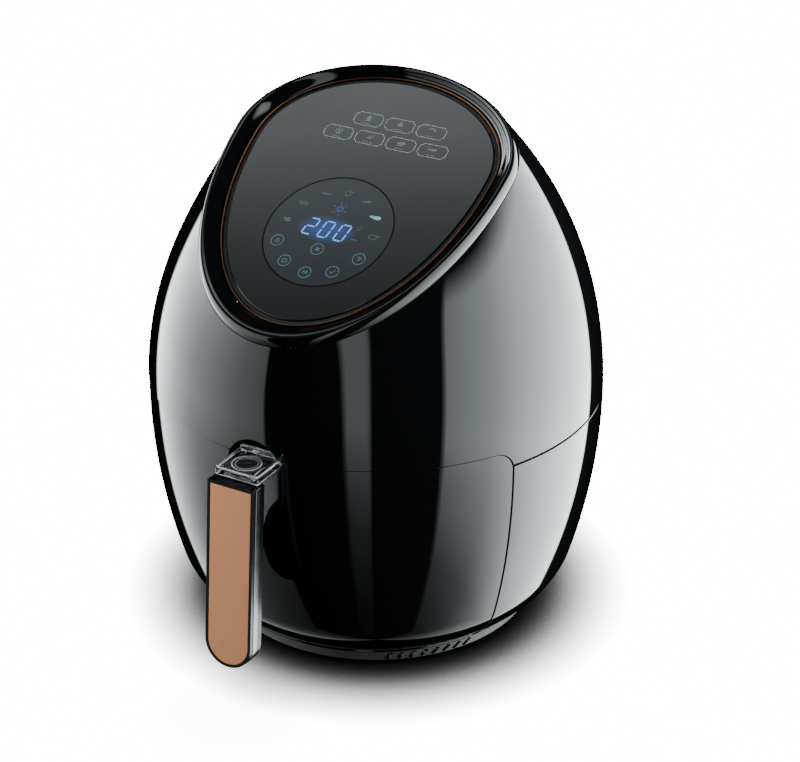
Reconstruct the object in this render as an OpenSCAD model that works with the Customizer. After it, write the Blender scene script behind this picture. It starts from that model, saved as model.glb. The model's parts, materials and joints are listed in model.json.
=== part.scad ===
// Egg-shaped hot-air fryer with a pull-out pan and basket.
// Origin on the body's axis at table level, front towards -Y, +Z up, millimetres.

/* [Body] */
// Largest radius of the egg-shaped body
body_r = 158; // [156:1:160]
// Height of the body's widest circle
widest_z = 163; // [161:1:165]
// Radius of the side's arc above the widest circle
upper_arc = 318; // [314:1:324]
// Radius of the side's arc below the widest circle
lower_arc = 410; // [400:5:430]
// Thickness of the moulded shells
shell_wall = 2.6; // [2.2:0.1:3]
// Height of the seam between the lower and upper shells
side_seam_z = 168; // [166:1:169]
// Height of the top edge of the drawer front
drawer_top_z = 179; // [178:0.5:180]
// Half of the angle that the drawer front spans
drawer_half_angle = 64.3; // [63:0.1:65]
// Height of the shells' bottom edge
shell_bottom_z = 14; // [13.5:0.1:14.5]

/* [Control panel] */
// Slope of the glass from the horizontal
panel_tilt = 30.5; // [30:0.1:31]
// Height of the glass plane on the body's axis
panel_z = 335.5; // [334:0.5:337]
// Half of the glass's width
glass_half_w = 86.5; // [85:0.5:88]
// Half-width of the rim's outer edge
rim_half_w = 104.5; // [104:0.1:105]
// Radius of the round display
display_r = 44.5; // [43:0.1:45]

/* [Drawer] */
// Outer width and depth of the pan
pan_w = 208; // [206:0.5:209]
// Height of the pan's floor above the table
pan_z = 34; // [33.5:0.1:35]
// Height of the pan's wall
pan_h = 118; // [112:1:119]
// Outer width and depth of the basket
basket_w = 200; // [199:0.5:201]

/* [Handle] */
// Width of the grip
grip_w = 35; // [34.5:0.1:36]
// Depth of the grip, front to back
grip_depth = 13; // [12.5:0.1:14]
// Length of the grip from its top to its round end
grip_len = 132; // [128:1:134]
// Forward lean of the grip
grip_lean = 5.2; // [4.8:0.1:5.6]

/* [Fan and heater] */
// Radius of the hot-air fan
fan_r = 66; // [60:1:70]
// Radius of the heating element's tube
element_r = 3.5; // [3:0.1:3.8]

/* [Hidden] */
$fn = 72;

black = [0.05, 0.05, 0.055];
dark = [0.12, 0.12, 0.13];
steel = [0.75, 0.76, 0.78];
copper = [0.72, 0.45, 0.32];
board = [0.10, 0.32, 0.18];

gap = 0.5;
chin_top_z = 46;
chin_pull = 14;
front_edge_z = drawer_top_z - gap;

// Egg outline: radius of the outer surface at height z
function egg_r(z) =
    let (arc = z < widest_z ? lower_arc : upper_arc)
    let (t = (chin_top_z - z) / (chin_top_z - shell_bottom_z))
    let (chin = z < chin_top_z ? chin_pull * t * t : 0)
    body_r - arc + sqrt(arc * arc - (z - widest_z) * (z - widest_z)) - chin;

// Closed profile of the egg between two heights and two insets from the outer surface
function egg_band(z0, z1, inset0, inset1, steps = 14) = concat(
    [for (i = [0:steps]) let (z = z0 + (z1 - z0) * i / steps) [egg_r(z) - inset0, z]],
    [for (i = [steps:-1:0]) let (z = z0 + (z1 - z0) * i / steps) [egg_r(z) - inset1, z]]
);

// Ring shell between two heights, inset0 and inset1 in from the egg
module egg_shell(z0, z1, inset0, inset1, steps = 14) {
    rotate_extrude($fn = 96) polygon(egg_band(z0, z1, inset0, inset1, steps));
}

// Space inside the egg, inset from its surface
module egg_space(z0, z1, inset, steps = 14) {
    rotate_extrude($fn = 96) polygon(concat(
        [[0, z0]],
        [for (i = [0:steps]) let (z = z0 + (z1 - z0) * i / steps) [egg_r(z) - inset, z]],
        [[0, z1]]
    ));
}

// The drawer front's outline as a wedge from the axis, grown outwards by g
drawer_corner_r = 14;
drawer_bottom_z = 15.5;
module front_wedge(g) {
    reach = 260;
    half = drawer_half_angle + g * 0.36;
    top = front_edge_z + g;
    corner_angle = half - (drawer_corner_r) / body_r * 180 / PI;
    difference() {
        translate([0, 0, drawer_bottom_z - g])
            linear_extrude(top - drawer_bottom_z + g)
                polygon([
                    [0, 0],
                    for (i = [-3:3]) reach * [sin(half * i / 3), -cos(half * i / 3)]
                ]);
        for (side = [-1, 1])
            rotate([0, 0, side * corner_angle])
                translate([0, -body_r + 40, top - drawer_corner_r])
                    rotate([90, 0, 0])
                        linear_extrude(80)
                            difference() {
                                translate([side > 0 ? 0 : -drawer_corner_r - 8, 0])
                                    square([drawer_corner_r + 8, drawer_corner_r + 8]);
                                circle(drawer_corner_r, $fn = 40);
                            }
    }
}

// Panel outlines: two half ellipses, w wide to each side, in the plane of the glass
outline_centre = -5;
rim_back = 73;
rim_front = 160;
glass_back = 62;
glass_front = 138;
outline_points = 72;
function egg_outline(w, back, front, n = outline_points) = [
    for (i = [0:n - 1]) let (a = 360 * i / n)
        [w * sin(a), outline_centre + (cos(a) > 0 ? back : front) * cos(a)]
];
function glass_outline(grow) = egg_outline(glass_half_w + grow, glass_back + grow, glass_front + grow);
// f = 0 is the rim's outer edge and f = 1 its inner edge
inner_grow = 5.5;
function mix(a, b, f) = a + (b - a) * f;
function rim_outline(f, n = outline_points) = egg_outline(
    mix(rim_half_w, glass_half_w + inner_grow, f),
    mix(rim_back, glass_back + inner_grow, f),
    mix(rim_front, glass_front + inner_grow, f), n);

// A point of the glass's frame: x, distance up the slope and height above the glass
function panel_point(p, h) = [
    p[0],
    p[1] * cos(panel_tilt) - h * sin(panel_tilt),
    panel_z + p[1] * sin(panel_tilt) + h * cos(panel_tilt)
];
module on_panel() {
    translate([0, 0, panel_z]) rotate([panel_tilt, 0, 0]) children();
}

// Solid between closed rings of equal length; the last ring joins the first
function ring_quads(m, n) = [
    for (j = [0:m - 1], i = [0:n - 1], half = [0, 1])
        let (a = j * n + i, b = j * n + (i + 1) % n)
        let (c = ((j + 1) % m) * n + (i + 1) % n, d = ((j + 1) % m) * n + i)
        half == 0 ? [a, c, b] : [a, d, c]
];
module tube_of_rings(rings) {
    polyhedron([for (ring = rings) for (p = ring) p], ring_quads(len(rings), len(rings[0])));
}

// Upper shell: the egg's side drawn in towards the rim's outer edge, its top edge flat under the rim
shell_steps = 11;
function shell_ring(s, inset) = [
    for (p = rim_outline(0, outline_points))
        let (top = panel_point(p, 0))
        let (top_r = norm([top[0], top[1]]))
        let (z = mix(side_seam_z + gap, top[2], s))
        let (r = egg_r(z) + (top_r - egg_r(top[2])) * s * s * s - inset)
        let (a = atan2(top[0], -top[1]))
        let (even = atan2(p[0], -(p[1] - outline_centre)))
        let (turn = mix(even, a, s))
        [r * sin(turn), -r * cos(turn), z + inset * cos(turn) * tan(panel_tilt) * s]
];
arch_r = 20;
arch_z = 170;
arch_back = 139;
module arch_recess(r, back) {
    translate([0, -back, arch_z]) rotate([90, 0, 0]) cylinder(r = r, h = 40, $fn = 12);
}
vent_half_w = 40;
vent_z0 = 212;
vent_z1 = 252;
module vent_window(g) {
    translate([-vent_half_w - g, 100, vent_z0 - g])
        cube([2 * vent_half_w + 2 * g, 80, vent_z1 - vent_z0 + 2 * g]);
}
module upper_shell() {
    color(black) difference() {
        tube_of_rings(concat(
            [for (i = [0:shell_steps]) shell_ring(i / shell_steps, 0)],
            [for (i = [shell_steps:-1:0]) shell_ring(i / shell_steps, shell_wall)]
        ));
        front_wedge(gap);
        arch_recess(arch_r, arch_back);
        vent_window(0);
    }
}

// Lower shell: open over the drawer front, with jambs beside the opening and a bottom lip
lip_r = 104;
screw_ring_r = 108.5;
base_screw_angles = [30, 90, 150, 210, 270, 330];
jamb_depth = 16;
jamb_bottom_z = 42;
gland_z = 61;
gland_r = 9;
module lower_shell() {
    color(black) difference() {
        union() {
            difference() {
                difference() {
                    egg_shell(shell_bottom_z, side_seam_z, 0, shell_wall);
                    translate([0, 132, gland_z]) rotate([-90, 0, 0]) cylinder(r = gland_r, h = 20, $fn = 48);
                }
                front_wedge(gap);
            }
            difference() {
                translate([0, 0, shell_bottom_z])
                    cylinder(r = egg_r(shell_bottom_z) - 1, h = 2.4, $fn = 96);
                translate([0, 0, shell_bottom_z - 1]) cylinder(r = lip_r, h = 5, $fn = 96);
                front_wedge(gap);
            }
            for (side = [-1, 1]) lower_jamb(side);
            for (a = base_screw_angles) if (a < 200 || a > 340)
                rotate([0, 0, a]) translate([screw_ring_r, 0, shell_bottom_z])
                    cylinder(r = 4, h = 12, $fn = 24);
        }
        for (a = base_screw_angles)
            rotate([0, 0, a]) translate([screw_ring_r, 0, shell_bottom_z - 1])
                cylinder(r = 1.8, h = 11, $fn = 24);
    }
}
module lower_jamb(side) {
    intersection() {
        egg_shell(jamb_bottom_z, side_seam_z, shell_wall - 0.5, jamb_depth);
        rotate([0, 0, side * (drawer_half_angle + 0.75)])
            translate([side > 0 ? 0 : -2, -200, 0])
                cube([2, 200, 200]);
    }
}

// Base: pan with air inlet, slotted ring, feet
foot_r = 9;
foot_ring_r = 84;
foot_angles = [45, 135, 225, 315];
base_floor_z = 7;
module base_pan() {
    color(dark) difference() {
        union() {
            translate([0, 0, base_floor_z]) cylinder(r = 104, h = 2.5, $fn = 96);
            difference() {
                translate([0, 0, base_floor_z])
                    cylinder(r = 104, h = shell_bottom_z - base_floor_z, $fn = 96);
                translate([0, 0, base_floor_z - 1]) cylinder(r = 101.5, h = 12, $fn = 96);
            }
            difference() {
                translate([0, 0, shell_bottom_z - 2.4]) cylinder(r = 113, h = 2.4, $fn = 96);
                translate([0, 0, shell_bottom_z - 4]) cylinder(r = 103, h = 6, $fn = 96);
            }
        }
        for (x = [-42:7:42])
            translate([x - 1.75, -28, base_floor_z - 1]) cube([3.5, 56, 5]);
        for (a = foot_angles)
            rotate([0, 0, a]) translate([foot_ring_r, 0, base_floor_z - 1])
                cylinder(r = 1.8, h = 5, $fn = 24);
        for (a = base_screw_angles)
            rotate([0, 0, a]) translate([screw_ring_r, 0, shell_bottom_z - 4])
                cylinder(r = 1.8, h = 6, $fn = 24);
    }
}
ring_bottom_z = 3.5;
slot_count = 8;
slot_first = 34;
slot_step = 4.1;
module base_ring() {
    color(dark) difference() {
        rotate_extrude($fn = 96) polygon([
            [109.5, ring_bottom_z], [112.5, ring_bottom_z + 1.5], [116.5, shell_bottom_z - 0.2],
            [113.6, shell_bottom_z - 0.2], [113.6, shell_bottom_z - 4], [109, ring_bottom_z + 3],
            [105, ring_bottom_z + 3], [105, ring_bottom_z]
        ]);
        for (side = [-1, 1], i = [0:slot_count - 1])
            rotate([0, 0, side * (slot_first + slot_step * i)])
                translate([0, -113, 9.2])
                    rotate([0, side * 32, 0])
                        cube([3.4, 14, 7.6], center = true);
    }
}
module feet() {
    color(dark) for (a = foot_angles)
        rotate([0, 0, a]) translate([foot_ring_r, 0, 0])
            difference() {
                rotate_extrude($fn = 48) polygon([
                    [0, 0], [foot_r - 1.2, 0], [foot_r, 1.2], [foot_r - 0.6, base_floor_z], [0, base_floor_z]
                ]);
                translate([0, 0, -1]) cylinder(r = 4, h = 4, $fn = 24);
                cylinder(r = 1.8, h = 10, $fn = 24);
            }
}
module screw(r, length, head_r, head_h) {
    translate([0, 0, -head_h / 4]) cylinder(r = r, h = length + head_h / 4, $fn = 24);
    difference() {
        translate([0, 0, -head_h]) cylinder(r = head_r, h = head_h, $fn = 24);
        for (a = [0, 90])
            rotate([0, 0, a]) translate([-head_r * 0.6, -0.35, -head_h - 1]) cube([head_r * 1.2, 0.7, 1.8]);
    }
}
module foot_screws() {
    color(steel) for (a = foot_angles)
        rotate([0, 0, a]) translate([foot_ring_r, 0, 3]) screw(1.7, 9, 3.3, 1.6);
}
module base_screws() {
    color(steel) for (a = base_screw_angles) if (a < 200 || a > 340)
        rotate([0, 0, a]) translate([screw_ring_r, 0, shell_bottom_z - 2.4]) screw(1.7, 11, 3.2, 1.6);
}

// Rear of the body: outlet grille, duct behind it and the cord's inlet
module rear_vent_cover() {
    color(black) difference() {
        intersection() {
            egg_shell(vent_z0 - 4, vent_z1 + 4, -0.6, 4.2, 6);
            vent_window(-0.3);
        }
        for (i = [0:6])
            translate([-vent_half_w + 5, 100, vent_z0 + 4 + i * 5]) cube([2 * vent_half_w - 10, 80, 2.6]);
    }
}
duct_z0 = 214;
duct_z1 = 244;
module exhaust_duct() {
    color(dark) difference() {
        intersection() {
            translate([-36, 64, duct_z0]) cube([72, 90, duct_z1 - duct_z0]);
            egg_space(duct_z0 - 2, duct_z1 + 2, 5.4, 6);
        }
        translate([-34.4, 50, duct_z0 + 1.6]) cube([68.8, 120, duct_z1 - duct_z0 - 3.2]);
        cylinder(r = 67.5, h = 400, $fn = 72);
    }
}
// The outer flange grips the cord, and the channel behind it is wider
gland_bore_r = 3.6;
gland_flange = 3.4;
gland_y0 = 126;
gland_y1 = 151.6;
module cord_gland() {
    color(dark) difference() {
        union() {
            translate([0, gland_y0, gland_z]) rotate([-90, 0, 0])
                cylinder(r = gland_r - 0.1, h = gland_y1 - gland_y0 - 3, $fn = 48);
            translate([0, gland_y1 - gland_flange, gland_z]) rotate([-90, 0, 0])
                cylinder(r = 12, h = gland_flange, $fn = 48);
            translate([0, gland_y0, gland_z]) rotate([-90, 0, 0]) cylinder(r = 12, h = 3, $fn = 48);
        }
        translate([0, gland_y0 - 1, gland_z]) rotate([-90, 0, 0])
            cylinder(r = gland_bore_r, h = gland_y1 - gland_y0 + 2, $fn = 36);
        translate([0, gland_y0 - 1, gland_z]) rotate([-90, 0, 0])
            cylinder(r = gland_bore_r + 1, h = gland_y1 - gland_y0 + 1 - gland_flange, $fn = 36);
    }
}

// Control panel, in the plane of the glass
module panel_rim() {
    section = [
        [0, 0.4], [0.03, 3.2], [0.12, 5.6], [0.26, 7], [0.42, 6.8],
        [0.62, 4.8], [0.84, 1.6], [1, 0.2], [1, -5], [0.62, -5], [0.62, 0.4]
    ];
    color(black) tube_of_rings([
        for (s = section) [for (p = rim_outline(s[0])) panel_point(p, s[1])]
    ]);
}
module outline_ring(outer, inner, h0, h1) {
    on_panel() translate([0, 0, h0]) linear_extrude(h1 - h0) difference() {
        polygon(glass_outline(outer));
        polygon(glass_outline(inner));
    }
}
module trim_ring() {
    color(copper) outline_ring(4.4, 3.4, -2.4, 0.5);
}
module glass_panel() {
    color(black) on_panel() translate([0, 0, -2]) linear_extrude(2) polygon(glass_outline(0));
}
display_v = -71;
module panel_tray() {
    color(dark) on_panel() difference() {
        union() {
            translate([0, 0, -4.6]) linear_extrude(2.2) polygon(glass_outline(5));
            translate([0, 0, -2.5]) linear_extrude(1.6) difference() {
                polygon(glass_outline(2.6));
                polygon(glass_outline(0.4));
            }
        }
        translate([0, display_v, -8]) cylinder(r = display_r + 0.3, h = 10, $fn = 72);
    }
}
module display_module() {
    color(dark) on_panel() {
        translate([0, display_v, -2.8]) cylinder(r = display_r, h = 0.6, $fn = 72);
        translate([0, display_v, -9]) cylinder(r = display_r - 2, h = 6.3, $fn = 72);
    }
}
board_h = -14;
spacer_places = [[-52, -20], [52, -20], [-40, -112], [40, -112]];
module touch_board() {
    color(board) on_panel() difference() {
        translate([-58, -120, board_h]) cube([116, 108, 1.6]);
        for (p = spacer_places) translate([p[0], p[1], board_h - 1]) cylinder(r = 1.7, h = 4, $fn = 24);
        for (side = [-1, 1])
            translate([side * 58, -120, board_h - 1]) rotate([0, 0, 45]) cube([30, 30, 9], center = true);
    }
}
module board_spacers() {
    color(steel) on_panel() for (p = spacer_places)
        translate([p[0], p[1], board_h + 1.6]) cylinder(r = 3, h = -4.6 - board_h - 1.6, $fn = 24);
}
module power_board() {
    color(board) {
        translate([-55, 121, 76]) cube([110, 1.6, 76]);
        translate([-48, 122.6, 90]) cube([30, 14, 26]);
        translate([-8, 122.6, 84]) cube([22, 12, 18]);
        translate([26, 134.6, 120]) rotate([90, 0, 0]) cylinder(r = 8, h = 12, $fn = 36);
        translate([-40, 122.6, 124]) cube([42, 8, 14]);
    }
}

// Cooking chamber
housing_w = 218;
housing_z = 28;
housing_top_z = 165;
module rounded_square(w, r) {
    union() {
        square([w, w - 2 * r], center = true);
        square([w - 2 * r, w], center = true);
        for (x = [-1, 1], y = [-1, 1]) translate([x, y] * (w / 2 - r)) circle(r, $fn = 64);
    }
}
module u_outline(w, r, front) {
    union() {
        rounded_square(w, r);
        translate([-w / 2, -front]) square([w, front]);
    }
}
housing_front = 112;
module inner_housing() {
    color(steel) difference() {
        intersection() {
            union() {
                translate([0, 0, housing_z]) linear_extrude(housing_top_z - housing_z)
                    difference() {
                        u_outline(housing_w, 71, housing_front);
                        u_outline(housing_w - 2.4, 69.8, housing_front + 4);
                    }
                translate([0, 0, housing_z]) linear_extrude(1.2) u_outline(housing_w, 71, housing_front);
            }
            egg_space(housing_z - 1, housing_top_z + 1, front_step + front_wall + 1.3, 12);
        }
        translate([0, 100, switch_z]) rotate([-90, 0, 0]) cylinder(r = 3.4, h = 20, $fn = 30);
    }
}
rail_x = 72;
module drawer_rails() {
    color(steel) for (side = [-1, 1])
        translate([side * rail_x - 4, -98, housing_z + 1.2]) cube([8, 170, pan_z - housing_z - 1.5]);
}
module chamber_top() {
    color(steel) difference() {
        translate([0, 0, housing_top_z]) linear_extrude(1.2) intersection() {
            rounded_square(housing_w, 71);
            translate([0, 20]) square([240, 240], center = true);
        }
        translate([0, 0, housing_top_z - 1]) cylinder(r = 93, h = 4, $fn = 96);
    }
}
reflector_z0 = housing_top_z + 1.2;
reflector_z1 = 210;
reflector_r = 96;
terminal_x = 46;
element_z = 181;
element_radii = [54, 76];
terminal_y = sqrt(element_radii[1] * element_radii[1] - terminal_x * terminal_x);
module heat_reflector() {
    color(steel) difference() {
        rotate_extrude($fn = 96) polygon([
            [reflector_r, reflector_z0], [reflector_r + 3, reflector_z0],
            [reflector_r + 3, reflector_z0 + 1.2], [reflector_r + 1.2, reflector_z0 + 1.2],
            [reflector_r - 8, reflector_z1], [6, reflector_z1],
            [6, reflector_z1 - 1.2], [reflector_r - 9, reflector_z1 - 1.2]
        ]);
        for (side = [-1, 1])
            translate([side * terminal_x, terminal_y, reflector_z1 - 3])
                cylinder(r = element_r + 1, h = 6, $fn = 36);
        for (a = [0:45:315])
            rotate([0, 0, a]) translate([48, 0, reflector_z1 - 3]) cylinder(r = 3, h = 6, $fn = 24);
        probe_axis() cylinder(r = 2.5, h = 60, center = true, $fn = 24);
    }
}
probe_reach = 84;
probe_z = 193;
module probe_axis() {
    rotate([0, 0, 225]) translate([probe_reach, 0, probe_z]) rotate([0, 90, 0]) children();
}
module heating_element() {
    color(dark) {
        for (r = element_radii)
            translate([0, 0, element_z]) rotate_extrude($fn = 72)
                translate([r, 0]) circle(element_r, $fn = 24);
        rotate([0, 0, 30]) translate([0, -element_radii[0], element_z]) rotate([90, 0, 0])
            cylinder(r = element_r - 0.3, h = element_radii[1] - element_radii[0], $fn = 24);
        for (side = [-1, 1])
            translate([side * terminal_x, terminal_y, 0]) {
                translate([0, 0, element_z]) cylinder(r = element_r, h = 40, $fn = 24);
                translate([0, 0, element_z + 40]) cylinder(r = 1.5, h = 7, $fn = 18);
            }
    }
}
module element_clips() {
    color(steel) for (a = [15, 165, 270])
        rotate([0, 0, a]) {
            translate([84, -3, element_z - 5.2]) cube([1, 6, reflector_z1 - element_z + 4]);
            translate([46, -3, element_z - 5.2]) cube([39, 6, 1]);
        }
}
guard_z = 168.6;
guard_wire = 1.2;
module heater_guard() {
    color(steel) {
        for (r = [18, 42, 66, 90])
            translate([0, 0, guard_z]) rotate_extrude($fn = 72)
                translate([r, 0]) circle(guard_wire, $fn = 18);
        for (a = [0:45:135])
            rotate([0, 0, a]) translate([-90, 0, guard_z - guard_wire * 1.4]) rotate([0, 90, 0])
                cylinder(r = guard_wire, h = 180, $fn = 18);
    }
}

// Motor, fans and their carrier
motor_z0 = 236;
motor_z1 = 268;
shaft_r = 3;
leg_angles = [25, 155, 205, 335];
module motor() {
    color(steel) difference() {
        union() {
            translate([0, 0, motor_z0]) cylinder(r = 32, h = motor_z1 - motor_z0, $fn = 72);
            translate([0, 0, motor_z0 - 3]) cylinder(r = 9, h = motor_z1 - motor_z0 + 6, $fn = 48);
            for (a = leg_angles)
                rotate([0, 0, a]) translate([30, -4, motor_z0]) cube([10, 8, 2]);
        }
        translate([0, 0, motor_z0 - 5]) cylinder(r = shaft_r + 0.05, h = 50, $fn = 36);
    }
}
module motor_bracket() {
    color(steel) difference() {
        union() {
            translate([0, 0, motor_z0 - 1.6]) linear_extrude(1.6) difference() {
                circle(42, $fn = 72);
                circle(10, $fn = 48);
            }
            for (a = leg_angles)
                rotate([0, 0, a]) {
                    translate([41, -7, motor_z0 - 1.6]) cube([38, 14, 1.6]);
                    translate([77.6, -7, reflector_z1]) cube([1.6, 14, motor_z0 - reflector_z1]);
                }
        }
        for (a = [0:45:315])
            rotate([0, 0, a]) translate([26, 0, motor_z0 - 3]) cylinder(r = 6, h = 6, $fn = 30);
    }
}
module cooling_shroud() {
    color(dark) difference() {
        union() {
            translate([0, 0, 212]) cylinder(r = 65.5, h = 18, $fn = 96);
            translate([0, 0, 212]) cylinder(r = 68, h = 1.8, $fn = 96);
        }
        translate([0, 0, 211]) cylinder(r = 63.5, h = 30, $fn = 96);
        translate([-33, 40, 215.8]) cube([66, 40, 12]);
    }
}
module temperature_probe() {
    color(steel) probe_axis() {
        cylinder(r = 2.4, h = 26, center = true, $fn = 24);
        translate([0, 0, 12]) cylinder(r = 4.5, h = 4, center = true, $fn = 24);
    }
}
module thermal_fuse() {
    color(steel) translate([78, 0, reflector_z1]) {
        translate([-9, -6, 0]) cube([18, 12, 1]);
        translate([0, 7, 4]) rotate([90, 0, 0]) cylinder(r = 3, h = 14, $fn = 30);
        translate([-3, -3, 0.5]) cube([6, 6, 3]);
    }
}
// Switch behind the chamber that senses the closed pan, with its sprung plunger
switch_z = 143;
plunger_r = 2.5;
plunger_gap = 1.6;
module drawer_switch() {
    color(dark) difference() {
        translate([-10, housing_w / 2, switch_z - 6]) cube([20, 10.5, 12]);
        translate([0, housing_w / 2 - 1, switch_z]) rotate([-90, 0, 0])
            cylinder(r = plunger_r + 0.06, h = 9.5, $fn = 30);
    }
}
module switch_plunger() {
    color(steel) translate([0, pan_w / 2 + plunger_gap, switch_z]) rotate([-90, 0, 0]) {
        translate([0, 0, 1]) cylinder(r = plunger_r, h = 9, $fn = 30);
        cylinder(r1 = plunger_r - 1, r2 = plunger_r, h = 1, $fn = 30);
    }
}
module motor_shaft() {
    color(steel) translate([0, 0, 186]) cylinder(r = shaft_r, h = motor_z1 + 8 - 186, $fn = 36);
}
module fan(hub_r, hub_h, r, blades, blade_h, pitch) {
    difference() {
        union() {
            cylinder(r = hub_r, h = hub_h, $fn = 48);
            translate([0, 0, hub_h - 1.2]) cylinder(r = r * 0.62, h = 1.2, $fn = 72);
            for (i = [0:blades - 1])
                rotate([0, 0, 360 / blades * i]) translate([hub_r - 1, 0, 0])
                    rotate([0, 0, pitch]) translate([0, -0.6, hub_h - blade_h])
                        cube([r - hub_r, 1.2, blade_h]);
        }
        translate([0, 0, -1]) cylinder(r = shaft_r, h = hub_h + 2, $fn = 36);
    }
}
module convection_fan() {
    color(steel) translate([0, 0, 192]) fan(9, 13, fan_r, 10, 13, 12);
}
module cooling_fan() {
    color(dark) translate([0, 0, 215]) fan(9, 12, 56, 12, 12, -14);
}
module fan_nut() {
    color(steel) translate([0, 0, 187]) difference() {
        cylinder(r = 6, h = 5, $fn = 6);
        translate([0, 0, -1]) cylinder(r = shaft_r, h = 7, $fn = 36);
    }
}

// Drawer: front, inner cover, pan and basket
front_step = 0.7;
front_wall = 3;
notch_half_w = 20;
notch_z = 147;
module drawer_front() {
    color(black) difference() {
        intersection() {
            egg_shell(drawer_bottom_z, front_edge_z, front_step, front_step + front_wall, 16);
            front_wedge(0);
        }
        translate([-notch_half_w, -200, notch_z]) cube([2 * notch_half_w, 100, 60]);
    }
}
inner_y = -106.8;
deck_z = 170;
module drawer_inner() {
    color(dark) difference() {
        intersection() {
            union() {
                translate([-103, inner_y, pan_z + 2]) cube([206, 1.8, deck_z - pan_z + 2]);
                translate([-103, -170, deck_z]) cube([206, 170 + inner_y + 1, 2]);
                for (x = [-88, -50, 48, 86])
                    translate([x, -170, pan_z + 12]) cube([2, 170 + inner_y + 1, deck_z - pan_z - 11]);
                translate([-103, -170, pan_z + 10]) cube([206, 170 + inner_y + 1, 2]);
            }
            egg_space(pan_z, front_edge_z, front_step + front_wall + 0.15, 12);
        }
        translate([-notch_half_w - 1, -200, 143]) cube([2 * notch_half_w + 2, 100, 60]);
    }
}
pan_r = 66;
module pan() {
    color(dark) difference() {
        union() {
            translate([0, 0, pan_z]) linear_extrude(pan_h) rounded_square(pan_w, pan_r);
            translate([0, 0, pan_z + pan_h - 1.2]) linear_extrude(1.2) rounded_square(pan_w + 2, pan_r + 1);
        }
        translate([0, 0, pan_z + 1.2]) linear_extrude(pan_h) rounded_square(pan_w - 2.4, pan_r - 1.2);
    }
}
module strap_holes() {
    for (side = [-1, 1])
        translate([side * strap_screw_x, -90, strap_screw_z]) rotate([90, 0, 0])
            cylinder(r = 1.8, h = 20, $fn = 24);
}
strap_screw_x = 8;
strap_screw_z = 128;
basket_r = 62;
basket_z = pan_z + 9;
basket_top_z = pan_z + pan_h - 3;
hole_pitch = 17;
module basket() {
    color(dark) difference() {
        union() {
            translate([0, 0, basket_z])
                linear_extrude(basket_top_z - basket_z) rounded_square(basket_w, basket_r);
            for (x = [-1, 1], y = [-1, 1])
                translate([x * 62, y * 62, pan_z + 1.4]) cylinder(r = 4, h = 9, $fn = 24);
        }
        translate([0, 0, basket_z + 1.2])
            linear_extrude(basket_top_z) rounded_square(basket_w - 2.4, basket_r - 1.2);
        for (i = [-5:5], j = [-5:5])
            if (norm([i, j]) * hole_pitch < 92 && !(abs(i) > 3 && abs(j) > 3))
                translate([i * hole_pitch, j * hole_pitch, basket_z - 1]) cylinder(r = 4.6, h = 4, $fn = 20);
        for (side = [-1, 1], k = [-3:3]) {
            translate([side * basket_w / 2 - 3, k * 10 - 2.2, basket_z + 10]) cube([6, 4.4, 28]);
            translate([k * 10 - 2.2, side * basket_w / 2 - 3, basket_z + 10]) cube([4.4, 6, 28]);
        }
        strap_holes();
    }
}
module basket_bumpers() {
    color([0.3, 0.3, 0.3]) for (side = [-1, 1], y = [-28, 28])
        translate([side > 0 ? basket_w / 2 : -basket_w / 2 - 2.5, y - 6, basket_top_z - 16])
            cube([2.5, 12, 9]);
}
strap_z = 158;
module basket_strap() {
    color(steel) difference() {
        union() {
            translate([-13, -149, strap_z]) cube([26, 49, 1.6]);
            translate([-13, -101.6, 118]) cube([26, 1.6, strap_z - 118 + 1.6]);
        }
        strap_holes();
        translate([-6, -150, strap_z - 1]) cube([12, 8, 4]);
    }
}

// Handle: bracket with the button's well, grip, trim and latch
bracket_half_w = 17;
bracket_top_z = 171;
bracket_back_y = -150.5;
grip_top_y = -184.6;
grip_top_z = bracket_top_z;
inlay_w = 30.8;
inlay_seat = 1.2;
lever_floor_z = 154.4;
lever_bay_w = 14;
lever_bay_h = 9.2;
spring_seat_r = 4.6;
button_y = -165;
button_r = 9;
button_travel = 2.5;
pin_y = -154;
pin_z = 159.4;
pin_r = 1.2;
lever_arm = pin_y - button_y;
module on_grip() {
    translate([0, grip_top_y, grip_top_z]) rotate([-grip_lean, 0, 0]) children();
}
// Upright bar with a half-round lower end, w wide, from depth y0 to y1 behind its face
module grip_bar(w, y0, y1, top = 0) {
    straight = grip_len - grip_w / 2;
    translate([0, y1, 0]) rotate([90, 0, 0]) linear_extrude(y1 - y0) union() {
        translate([-w / 2, -straight]) square([w, straight - top]);
        translate([0, -straight]) circle(w / 2, $fn = 64);
    }
}
module button_well() {
    translate([0, button_y, 165.5]) cylinder(r = button_r + 0.08, h = 20, $fn = 60);
}
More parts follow.
